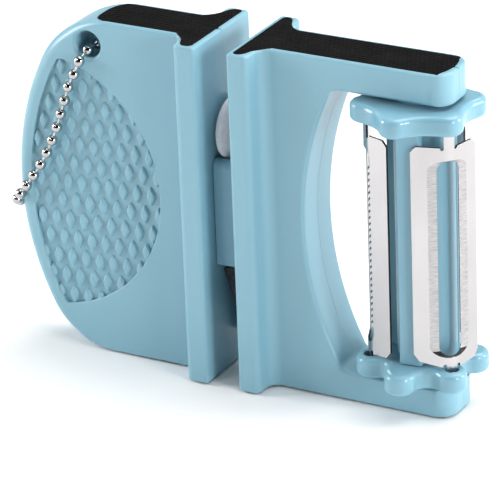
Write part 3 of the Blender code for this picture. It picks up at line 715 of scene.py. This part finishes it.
def recess(profile, top):
    """The cutting body of a pad's recess, a little larger than the pad all round."""
    points = []
    columns = [(x, y + SNUG) for x, y in pad_columns(profile, 0.35)]
    (first, first_y), (last, last_y) = columns[0], columns[-1]
    columns = [(first - SNUG, first_y)] + columns[1:-1] + [(last + SNUG, last_y)]
    for x, y in columns:
        bend = edge_bend(x, top)
        if top:
            low, high = HEIGHT - bend - PAD_SUNK - 0.1, HEIGHT - bend + 1.0
        else:
            low, high = bend - 1.0, bend + PAD_SUNK + 0.1
        points += [(x, -y, low), (x, y, low), (x, y, high), (x, -y, high)]
    return build("recess", points, skin(4, len(columns)) + caps(4, len(points)))


def make_pad(name, profile, top):
    """A rubber pad with a smooth border round staggered rows of short raised dashes."""
    columns = pad_columns(profile, 0.14)
    rows = 84
    row_pitch, dash_pitch, dash_long, dash_wide = 1.0, 0.92, 0.40, 0.30
    border, edge_round = 0.45, 0.22
    first, last = columns[0][0], columns[-1][0]
    upper, lower = [], []
    for x, half in columns:
        bend = edge_bend(x, top)
        face, sign = (HEIGHT - bend, 1) if top else (bend, -1)
        for r in range(rows + 1):
            v = -1 + 2 * r / rows
            v = math.copysign(1 - (1 - abs(v)) ** 1.15, v)
            y = v * half
            rim = min(half - abs(y), x - first, last - x)
            height = PAD_PROUD - 0.04
            height -= edge_round * (1 - min(1.0, rim / edge_round)) ** 2
            row = round(y / row_pitch)
            across = (y - row * row_pitch) / dash_wide
            shift = 0.45 if row % 2 else 0.0
            cell = (x - shift) / dash_pitch
            lengthwise = (cell - round(cell)) * dash_pitch / dash_long
            inside = max(0.0, min(1.0, (rim - border) / 0.1))
            bump = max(0.0, 1 - across ** 2) * max(0.0, 1 - lengthwise ** 4)
            height += inside * 0.17 * min(1.0, 1.6 * bump) - inside * 0.08
            upper.append((x, y, face + sign * height))
            lower.append((x, y, face - sign * PAD_SUNK))
    wide, long = rows + 1, len(columns)
    faces = []
    for c in range(long - 1):
        for r in range(rows):
            a = c * wide + r
            faces.append((a, a + 1, a + wide + 1, a + wide))
    edge = list(range(wide)) + [c * wide + rows for c in range(1, long)]
    edge += [(long - 1) * wide + r for r in range(rows - 1, -1, -1)]
    edge += [c * wide for c in range(long - 2, 0, -1)]
    count = len(upper)
    rim_index = {p: count + i for i, p in enumerate(edge)}
    points = upper + [lower[p] for p in edge]
    for i, p in enumerate(edge):
        q = edge[(i + 1) % len(edge)]
        faces.append((p, q, rim_index[q], rim_index[p]))
    faces.append(tuple(rim_index[p] for p in edge))
    pad = build(name, points, faces)
    finish_piece(pad, name, RUBBER, "body", name.replace("_rubber", "_pad"), 60)


# ---------------------------------------------------------------- handle
def grip_outline():
    """The overlap of two circles, as a closed outline."""
    left = [p for p in arc(D_ARC_C, GRIP_OUTER_R, 140, 220, 120)
            if math.dist(p, GRIP_INNER_C) < GRIP_INNER_R - 0.1]
    right = [p for p in arc(GRIP_INNER_C, GRIP_INNER_R, -100, 100, 150)
             if math.dist(p, D_ARC_C) < GRIP_OUTER_R - 0.1]
    return left + right


def leaf(wide, tall, steps=7):
    """A lozenge with slightly bulging sides and rounded corners."""
    out = []
    power = 1.22                # 1 would be straight sides, 2 an ellipse
    for k in range(4 * steps):
        a = 2 * math.pi * k / (4 * steps)
        c, s = math.cos(a), math.sin(a)
        reach = (abs(c) ** power + abs(s) ** power) ** (-1 / power)
        out.append((wide * c * reach, tall * s * reach))
    return out


def lozenges():
    """Raised lozenges over the whole recess, each with a flat top and rounded shoulders."""
    points, faces = [], []
    levels = ((GRIP_DEPTH + 0.15, 1.04), (GRIP_DEPTH - 0.02, 1.0), (0.5, 0.94), (0.3, 0.85), (0.17, 0.72),
              (0.1, 0.56), (0.08, 0.36))
    for row in range(-10, 7):
        for column in range(-9, 7):
            x = LOZENGE_AT[0] + LOZENGE_PITCH[0] * (column + 0.5 * (row % 2))
            z = LOZENGE_AT[1] + LOZENGE_PITCH[1] * row
            outer = math.hypot(x - D_ARC_C[0], z - D_ARC_C[1])
            inner = math.hypot(x - GRIP_INNER_C[0], z - GRIP_INNER_C[1])
            if outer > GRIP_OUTER_R + 1.2 or inner > GRIP_INNER_R + 1.4:
                continue
            start = len(points)
            for depth, scale in levels:
                shape = leaf(LOZENGE_HALF[0] * scale, LOZENGE_HALF[1] * (0.35 + 0.65 * scale))
                points += [(x + a, -WEB_Y + depth, z + b) for a, b in shape]
            faces += caps(len(shape), len(points), start) + skin(len(shape), len(levels), start)
    field = build("lozenges", points, faces)
    return combine(field, prism("Y", offset(grip_outline(), SNUG), -WEB_Y - 1, -WEB_Y + 3), "INTERSECT")


def add_mesh(target, other):
    """Puts another object's mesh into the target's."""
    bm = bmesh.new()
    bm.from_mesh(target.data)
    bm.from_mesh(other.data)
    bm.to_mesh(target.data)
    bm.free()
    drop(other)


def handle_shell():
    """The front half of the handle, without its grip lozenges."""
    points, angles, rounds = handle_outline()
    rings = [[(x, -SEAM, z) for x, z in points]]
    for k in range(9):
        t = math.radians(90 * k / 8)
        ring = []
        for (x, z), a, r in zip(points, angles, rounds):
            inset = r * (1 - math.cos(t))
            ring.append((x - math.cos(math.radians(a)) * inset, -WEB_Y + r - r * math.sin(t),
                         z - math.sin(math.radians(a)) * inset))
        rings.append(ring)
    shell = loft("handle", rings)
    outline = grip_outline()
    lip = ((-WEB_Y - 1, 0.16), (-WEB_Y - 0.02, 0.16), (-WEB_Y + 0.05, 0.06), (-WEB_Y + 0.16, 0.0),
           (-WEB_Y + GRIP_DEPTH, 0.0))
    cut(shell, loft("grip", [along("Y", offset(outline, grow), y) for y, grow in lip]))
    plan = handle_plan()
    join(shell, loft("flange", [along("Z", offset(plan, inset), z)
                                for z, inset in rim_levels(0.0, HEIGHT, EDGE_R, 0.01)]))
    hole = [(-7.0, 0.75), (-6.02, 0.75), (-5.86, 0.45), (-5.68, 0.2), (-5.4, 0.04), (-5.0, 0.0), (2.0, 0.0)]
    cut(shell, loft("hole", [along("Y", circle(CHAIN_HOLE, CHAIN_HOLE_R + flare, 64), y)
                             for y, flare in hole]))
    return shell


def cutter_plate(side, grow=0.0):
    """One carbide plate, side -1 at the front and +1 at the back, or with grow the room it needs."""
    lean = math.radians(CUTTER_LEAN)
    down = Vector((math.sin(lean), -math.cos(lean)))
    across = Vector((math.cos(lean), math.sin(lean)))
    apex = Vector(CUTTER_APEX)
    corners = [apex - down * 10.8, apex + down * 6.0]
    corners += [corners[1] + across * 4.5, corners[0] + across * 4.5]
    outline = offset([(-side * p.x, p.y) for p in corners], grow)
    return prism("Y", outline, *sorted((side * (CUTTER_Y[0] - grow), side * (CUTTER_Y[1] + grow))))


def side_cuts(shell, side):
    """The tongue socket, the axle groove and the two pad recesses; side -1 handle, +1 frame."""
    reach, half, low, high = TONGUE
    inner, deep = side * SLOT_W / 2 - side, side * (reach + SNUG)
    cut(shell, box((min(inner, deep), -half - SNUG, low - SNUG), (max(inner, deep), half + SNUG, high + SNUG)))
    groove = side * (AXLE_REACH + 0.3)
    cut(shell, prism("X", circle((0.0, WHEEL_Z), AXLE_R + SNUG, 40), min(inner, groove), max(inner, groove)))
    for top in (True, False):
        cut(shell, recess(HANDLE_PAD if side < 0 else FRAME_PAD, top))


def make_handle():
    field = lozenges()
    plain = handle_shell()
    side_cuts(plain, -1)
    back = mirrored(plain, "back")
    back_field = mirrored(field, "back_field")
    cut(back, cutter_plate(1, SNUG))
    for shell, grip, name in ((plain, field, "front"), (back, back_field, "back")):
        add_mesh(shell, grip)
        finish_piece(shell, f"handle_{name}", SHELL_BLUE, "body", f"handle_{name}_shell", 34)


# ---------------------------------------------------------------- frame
def curve(a, b, c, steps):
    """A quadratic curve from a to c, pulled towards b."""
    return [tuple((1 - t) ** 2 * p + 2 * t * (1 - t) * q + t * t * r for p, q, r in zip(a, b, c))
            for t in (k / steps for k in range(steps + 1))]


def opening_outline(grow=0.0):
    """The C-shaped frame's opening: a curved wall on the left, open to the right."""
    centre = (OPEN_WALL_X + OPEN_WALL_R, (OPEN_Z[0] + OPEN_Z[1]) / 2 + 0.7)
    radius = OPEN_WALL_R + grow
    low, high = OPEN_Z[0] - grow, OPEN_Z[1] + grow
    start = 180 - math.degrees(math.asin((low + 1.7 - centre[1]) / radius))
    stop = 180 - math.degrees(math.asin((high - 1.7 - centre[1]) / radius))
    wall = arc(centre, radius, start, stop, 60)
    (x0, z0), (x1, z1) = wall[0], wall[-1]
    lower = curve((x0 + 2.7, low), (x0 + 0.35, low + 0.05), (x0, z0), 10)[:-1]
    upper = curve((x1, z1), (x1 + 0.35, high - 0.05), (x1 + 2.7, high), 10)[1:]
    return [(60.0, low)] + lower + wall + upper + [(60.0, high)]


def frame_shell():
    plan = frame_plan()
    shell = loft("frame", [along("Z", offset(plan, inset), z)
                           for z, inset in rim_levels(0.0, HEIGHT, EDGE_R)])
    flare = ((-WEB_Y - 6.0, 0.75), (-WEB_Y - 0.02, 0.75), (-WEB_Y + 0.1, 0.5), (-WEB_Y + 0.28, 0.24),
             (-WEB_Y + 0.5, 0.06), (-WEB_Y + 0.75, 0.0), (2.0, 0.0))
    opening = loft("opening", [along("Y", opening_outline(grow), y) for y, grow in flare])
    cut(opening, box((0, -20, -5), (FRAME_FLANGE_X + 3, 5, 90)))
    cut(shell, opening)
    for low, high in ((OPEN_Z[0] - 3.2, OPEN_Z[0] + 2), (OPEN_Z[1] - 2, OPEN_Z[1] + 3.2)):
        cut(shell, prism("Z", circle((TURRET_X, 0.0), STUB_R + 0.08, 64), low, high))
    return shell


def make_frame():
    plain = frame_shell()
    side_cuts(plain, 1)
    back = mirrored(plain, "back")
    cut(plain, cutter_plate(-1, SNUG))
    for shell, name in ((plain, "front"), (back, "back")):
        finish_piece(shell, f"frame_{name}", SHELL_BLUE, "body", f"frame_{name}_shell", 34)


# ---------------------------------------------------------------- core block, wheels, cutters
def lathe(name, profile, steps, height):
    """A ring turned about a line along X at a height, from (radius, x) points."""
    points = []
    for k in range(steps):
        a = 2 * math.pi * k / steps
        points += [(x, r * math.cos(a), r * math.sin(a) + height) for r, x in profile]
    return build(name, points, skin(len(profile), steps, closed=True))


def make_middle():
    """What sits in the knife slot: the block, the two wheels on their axle, and the carbide plates."""
    half = SLOT_W / 2 - 0.12
    low, high = BLOCK_Z
    round_y, round_z, chamfer = BLOCK_Y - BLOCK_CORNER_R, high - BLOCK_CORNER_R, 0.4
    outline = [(-BLOCK_Y, low + chamfer), (-BLOCK_Y + chamfer, low), (BLOCK_Y - chamfer, low),
               (BLOCK_Y, low + chamfer)]
    outline += arc((round_y, round_z), BLOCK_CORNER_R, 0, 90, 10)
    outline += arc((-round_y, round_z), BLOCK_CORNER_R, 90, 180, 10)
    levels = [(-half, -0.3), (-half + 0.08, -0.1), (-half + 0.3, 0.0), (half - 0.3, 0.0), (half - 0.08, -0.1),
              (half, -0.3)]
    block = loft("block", [along("X", offset(outline, inset), x) for x, inset in levels])
    reach, deep, foot, head = TONGUE
    join(block, box((-reach, -deep, foot), (reach, deep, head)))
    cut(block, prism("X", circle((0.0, WHEEL_Z), WHEEL_R + 0.25, 96), -5, 5))
    for side in (-1, 1):
        cut(block, cutter_plate(side, 0.06))
    finish_piece(block, "middle_block", BLOCK_BLUE, "body", "core_block", 34)

    for side, name in ((-1, "left"), (1, "right")):
        profile = [(1.85, 0.2), (4.3, 0.2), (4.5, 0.26), (5.4, 0.72), (6.12, 1.12), (6.28, 1.26),
                   (WHEEL_R, 1.45), (WHEEL_R, 2.05), (6.3, 2.2), (6.18, 2.33), (6.0, 2.4), (2.6, 2.4),
                   (2.5, 2.3), (1.85, 2.3)]
        wheel = lathe("wheel", [(r, side * x) for r, x in profile], 128, WHEEL_Z)
        finish_piece(wheel, f"ceramic_disc_{name}", CERAMIC, f"wheel_{name}",
                     f"ceramic_wheel_{name}", 40)
    rings = ((-AXLE_REACH, 1.2), (-AXLE_REACH + 0.3, AXLE_R), (-0.2, AXLE_R), (-0.12, 1.42), (0.12, 1.42),
             (0.2, AXLE_R), (AXLE_REACH - 0.3, AXLE_R), (AXLE_REACH, 1.2))
    axle = loft("axle", [along("X", circle((0.0, WHEEL_Z), r, 48), x) for x, r in rings])
    finish_piece(axle, "axle_pin", STEEL, "body", "wheel_axle", 34)
    for side, name in ((-1, "front"), (1, "back")):
        plate = cutter_plate(side)
        soften(plate, 0.12)
        finish_piece(plate, f"carbide_plate_{name}", CARBIDE, "body", f"carbide_cutter_{name}", 30)


# ---------------------------------------------------------------- turret
def pivot(azimuth):
    """Where a blade's pivot stands, with azimuth 0 at the front and growing to the right."""
    a = math.radians(azimuth)
    return (TURRET_X + PIVOT_AT * math.sin(a), -PIVOT_AT * math.cos(a))


def petal_outline(valley, grow=0.0):
    """Six petals with concave valleys between them, the first petal facing the front."""
    out, centre = [], (TURRET_X, 0.0)
    valley_at, valley_r = valley
    reach = math.degrees(math.atan2(PETAL_AT * math.sin(math.radians(30)),
                                    valley_at - PETAL_AT * math.cos(math.radians(30))))
    for k in range(6):
        a = -90 + 60 * k
        turn = 30 + reach
        out += arc(polar(centre, PETAL_AT, a), PETAL_R + grow, a - turn, a + turn, 22)
        b = a + 30
        dip = polar(centre, valley_at, b)
        out += arc(dip, valley_r - grow, b + 180 + reach, b + 180 - reach, 12)[1:-1]
    return out


def make_knob(name, low, high, outward, node):
    """A six-petalled knob, with a stub on its outer side and the core's and blades' sockets inside."""
    valley = VALLEY_TOP if outward > 0 else VALLEY_BOTTOM
    rim = rim_levels(low, high, 1.15, 0.0, 8)
    knob = loft(name, [along("Z", petal_outline(valley, inset), z) for z, inset in rim])
    centre = (TURRET_X, 0.0)
    if outward > 0:
        stub = [(high - 1.0, 0.0), (high + STUB_LENGTH - 0.2, 0.0), (high + STUB_LENGTH, -0.2)]
        holes, socket = (low - 1.0, low + 2.6), (low - 1.0, low + 1.3)
        collar = [(high - 0.5, 0.0), (high + 0.45, 0.0), (high + 0.6, -0.15)]
    else:
        stub = [(low - STUB_LENGTH, -0.2), (low - STUB_LENGTH + 0.2, 0.0), (low + 1.0, 0.0)]
        holes, socket = (high - 2.6, high + 1.0), (high - 1.3, high + 1.0)
        collar = [(low - 0.6, -0.15), (low - 0.45, 0.0), (low + 0.5, 0.0)]
    join(knob, loft("stub", [along("Z", circle(centre, STUB_R + r, 64), z) for z, r in stub]))
    join(knob, loft("collar", [along("Z", circle(centre, COLLAR_R + r, 64), z) for z, r in collar]))
    for blade in BLADES:
        cut(knob, prism("Z", circle(pivot(blade[1]), PIVOT_HOLE_R, 32), *holes))
    cut(knob, prism("Z", circle(centre, CORE_PIN_R + 0.08, 48), *socket))
    finish_piece(knob, name, KNOB_BLUE, "turret", node, 36)


def make_core():
    """The three-finned core between the knobs: two hollow sides, and a rounded lobe behind the peeler."""
    outline = []
    for k in range(3):
        a = math.radians(-90 + CORE_TURN + 120 * k)
        out_dir = Vector((math.cos(a), math.sin(a)))
        side_dir = Vector((-out_dir.y, out_dir.x))
        corner = CORE_TIP_CORNER
        for s in (-1, 1):
            at = out_dir * (CORE_R - corner) + side_dir * s * (CORE_TIP_HALF - corner)
            turn = (0, 90) if s > 0 else (-90, 0)
            for t in range(5):
                b = a + math.radians(turn[0] + (turn[1] - turn[0]) * t / 4)
                outline.append((TURRET_X + at.x + corner * math.cos(b), at.y + corner * math.sin(b)))
        b = a + math.radians(60)
        for turn, reach in zip(CORE_TURNS, CORE_HOLLOW if k else CORE_LOBE):
            c = b + math.radians(turn)
            outline.append((TURRET_X + reach * math.cos(c), reach * math.sin(c)))
    low, high = KNOB_BOTTOM_Z[1] + 0.1, KNOB_TOP_Z[0] - 0.1
    levels = ((low, -0.3), (low + 0.1, -0.1), (low + 0.35, 0.0), (high - 0.35, 0.0), (high - 0.1, -0.1),
              (high, -0.3))
    core = loft("core", [along("Z", offset(outline, inset), z) for z, inset in levels])
    for z in (low, high):
        join(core, prism("Z", circle((TURRET_X, 0.0), CORE_PIN_R, 48), z - 1.0, z + 1.0))
    finish_piece(core, "finned_core", BLOCK_BLUE, "turret", "turret_core", 30)


def arch(u):
    """(sideways, backwards, lean) of the blade's middle surface at developed width u."""
    limit = BLADE_ARCH_R * math.radians(BLADE_LEG_ANGLE)
    bend = max(-limit, min(limit, u)) / BLADE_ARCH_R
    side = BLADE_ARCH_R * math.sin(bend)
    back = BLADE_ARCH_R * (1 - math.cos(bend))
    rest = u - bend * BLADE_ARCH_R
    return side + rest * math.cos(bend), back + abs(rest * math.sin(bend)), bend


def blade_outline(left, right):
    """The blade laid flat: slanting ends, chamfered corners, and a notched tab at each end."""
    low, high = BLADE_Z
    tab, notch, cut_off = 1.0, 0.35, 1.1
    tab_low, tab_top = KNOB_BOTTOM_Z[1] - 2.2, KNOB_TOP_Z[0] + 2.2
    return [
        (-left, low + 1.3 + 0.2 * left), (-left + cut_off, low + 0.2 * (left - cut_off)),
        (-tab - 0.7, low + 0.2 * tab + 0.1), (-tab - 0.62, low + notch + 0.4), (-tab - 0.3, low + notch + 0.6),
        (-tab, low + notch + 0.4), (-tab, tab_low + 0.3), (-tab + 0.3, tab_low), (tab - 0.3, tab_low),
        (tab, tab_low + 0.3), (tab, low + notch + 0.4), (tab + 0.3, low + notch + 0.6),
        (tab + 0.62, low + notch + 0.4), (tab + 0.7, low + 0.1 * tab + 0.05),
        (right - cut_off, low + 0.1 * (right - cut_off)), (right, low + 1.3 + 0.1 * right),
        (right, high - cut_off), (right - cut_off, high),
        (tab + 0.7, high), (tab + 0.62, high - notch), (tab + 0.3, high - notch - 0.2),
        (tab, high - notch), (tab, tab_top - 0.3), (tab - 0.3, tab_top), (-tab + 0.3, tab_top),
        (-tab, tab_top - 0.3), (-tab, high - notch), (-tab - 0.3, high - notch - 0.2),
        (-tab - 0.62, high - notch), (-tab - 0.7, high), (-left + cut_off, high),
        (-left, high - cut_off),
    ]


def slot_outline(right, pitch, depth, grow):
    """The long slot with rounded ends, and teeth down its right-hand edge where the blade has them."""
    low, high = BLADE_SLOT_Z[0] - grow * 0.12, BLADE_SLOT_Z[1] + grow * 0.12
    start, stop = BLADE_SLOT_Z[0] + 1.9, BLADE_SLOT_Z[1] - 1.9
    left = SLOT_HALF + grow
    edge = right + grow
    out = []
    steps = 14
    for k in range(1, steps):
        a = math.pi * k / steps
        u = -math.cos(a)
        out.append((u * (left if u < 0 else edge), start - (start - low) * math.sin(a)))
    out.append((edge, start))
    if pitch:
        teeth = int((stop - start - 2.0) / pitch)
        first = (start + stop - teeth * pitch) / 2
        out.append((edge, first))
        for k in range(teeth):
            out.append((edge - depth, first + pitch * (k + 0.5)))
            out.append((edge, first + pitch * (k + 1)))
    out.append((edge, stop))
    for k in range(1, steps):
        a = math.pi * k / steps
        u = math.cos(a)
        out.append((u * (edge if u > 0 else left), stop + (high - stop) * math.sin(a)))
    return out + [(-left, stop), (-left, start)]


def make_blade(node, azimuth, facing, halves, slot_half, pitch, depth):
    """A blade cut from flat strip, ground along its slot, and then arched."""
    left, right = halves
    half = BLADE_T / 2
    us = [-left - 1 + (left + right + 2) * k / 68 for k in range(69)]
    strip = [(u, -half) for u in us] + [(u, half) for u in reversed(us)]
    sheet = loft("sheet", [along("Z", strip, z) for z in (5.0, 65.0)])
    combine(sheet, prism("Y", blade_outline(left, right), -2.0, 2.0), "INTERSECT")
    ground = 0.9 if pitch else 1.75
    shapes = [(-1.0, ground), (-half - 0.001, ground), (half - 0.06, 0.0), (1.0, 0.0)]
    cut(sheet, loft("slot", [along("Y", slot_outline(slot_half, pitch, depth, g), y) for y, g in shapes]))
    marks = []                  # 0 for the polished faces, 1 for the ground bevels, 2 for the cut edges and the slot ends, which take the near-black painted shade
    for face in sheet.data.polygons:
        # Painted shade: the upright cut edges and the faces at the slot ends are marked for the near-black
        # edge material.
        upright, ends = abs(face.normal.y), face.normal.z > 0.25
        marks.append(2 if upright < 0.15 or ends else int(upright < 0.985))
    px, py = pivot(azimuth)
    f = math.radians(facing)
    normal, side = Vector((math.sin(f), -math.cos(f))), Vector((math.cos(f), math.sin(f)))
    for vertex in sheet.data.vertices:
        u = vertex.co.x / MM - SLOT_X
        outwards = -vertex.co.y / MM
        z = vertex.co.z / MM - FLOOR_Z
        s, b, lean = arch(u)
        s += outwards * math.sin(lean)
        b -= outwards * math.cos(lean)
        at = Vector((px, py)) + side * s - normal * b
        vertex.co = place((at.x, at.y, z))
    kind = node.replace("_blade", "")
    finish_piece(sheet, kind + "_strip", STEEL, kind, node, 24)
    sheet.data.materials.append(GROUND)
    sheet.data.materials.append(EDGE_SHADE)
    for face, mark in zip(sheet.data.polygons, marks):
        face.material_index = mark


# ---------------------------------------------------------------- stage and light
def make_stage():
    """A pale floor of square tiles, 6 m across and just under the part."""
    mesh = bpy.data.meshes.new("floor")
    bm = bmesh.new()
    bmesh.ops.create_grid(bm, x_segments=12, y_segments=12, size=3.0,
                          matrix=Matrix.Translation((0.0, 0.0, -0.0002)))
    bm.to_mesh(mesh)
    bm.free()
    floor = link(bpy.data.objects.new("floor", mesh))
    mesh.materials.append(floor_look())


def soft_light(name, at, size, power):
    """A white rectangular light, in metres and watts, turned to the middle of the part."""
    data = bpy.data.lights.new(name, "AREA")
    data.shape = "RECTANGLE"
    data.size, data.size_y = size
    data.energy = power
    lamp = link(bpy.data.objects.new(name, data))
    lamp.location = at
    lamp.rotation_euler = (Vector((0.0, 0.0, 0.036)) - Vector(at)).to_track_quat("-Z", "Y").to_euler()


def make_light():
    """A white studio with one dark side, for the polished steel and the deep slots."""
    dark_side, dark = (0.449, -0.796, 0.407), (0.03, 0.03, 0.035, 1.0)
    scene, world = bpy.context.scene, bpy.data.worlds.new("studio")
    scene.world = world
    world.use_nodes = True
    nodes, links = world.node_tree.nodes, world.node_tree.links
    background = nodes["Background"]
    coordinates = nodes.new("ShaderNodeTexCoord")
    facing = nodes.new("ShaderNodeVectorMath")
    facing.operation = "DOT_PRODUCT"
    facing.inputs[1].default_value = dark_side
    links.new(coordinates.outputs["Generated"], facing.inputs[0])
    ramp = nodes.new("ShaderNodeValToRGB")
    ramp.color_ramp.elements[0].position = 0.62
    ramp.color_ramp.elements[0].color = (1.0, 1.0, 1.0, 1.0)
    ramp.color_ramp.elements[1].position = 0.78
    ramp.color_ramp.elements[1].color = dark
    links.new(facing.outputs["Value"], ramp.inputs["Fac"])
    links.new(ramp.outputs["Color"], background.inputs["Color"])
    background.inputs["Strength"].default_value = 0.38
    soft_light("key", (-0.60, -0.21, 0.26), (0.28, 0.34), 3.4)
    soft_light("fill", (0.98, -0.36, 0.26), (0.25, 0.4), 6.0)
    soft_light("rim", (0.90, 0.45, 0.26), (0.35, 0.4), 5.5)
    soft_light("top", (0.20, 0.25, 0.95), (0.9, 0.9), 11.0)
    soft_light("glint", (-0.35, -0.75, 0.75), (0.07, 0.07), 0.8)
    scene.view_settings.view_transform = "Standard"
    scene.view_settings.look = "None"
    scene.view_settings.exposure = 0.0


# ---------------------------------------------------------------- everything
make_camera()
chain, chain_path, chain_total = make_chain()
sleeve = make_connector()
make_handle()
make_frame()
make_pad("handle_top_rubber", HANDLE_PAD, True)
make_pad("handle_bottom_rubber", HANDLE_PAD, False)
make_pad("frame_top_rubber", FRAME_PAD, True)
make_pad("frame_bottom_rubber", FRAME_PAD, False)
make_middle()
make_knob("upper_knob", *KNOB_TOP_Z, 1, "top_knob")
make_knob("lower_knob", *KNOB_BOTTOM_Z, -1, "bottom_knob")
make_core()
for shape in BLADES:
    make_blade(*shape)
make_stage()
make_light()
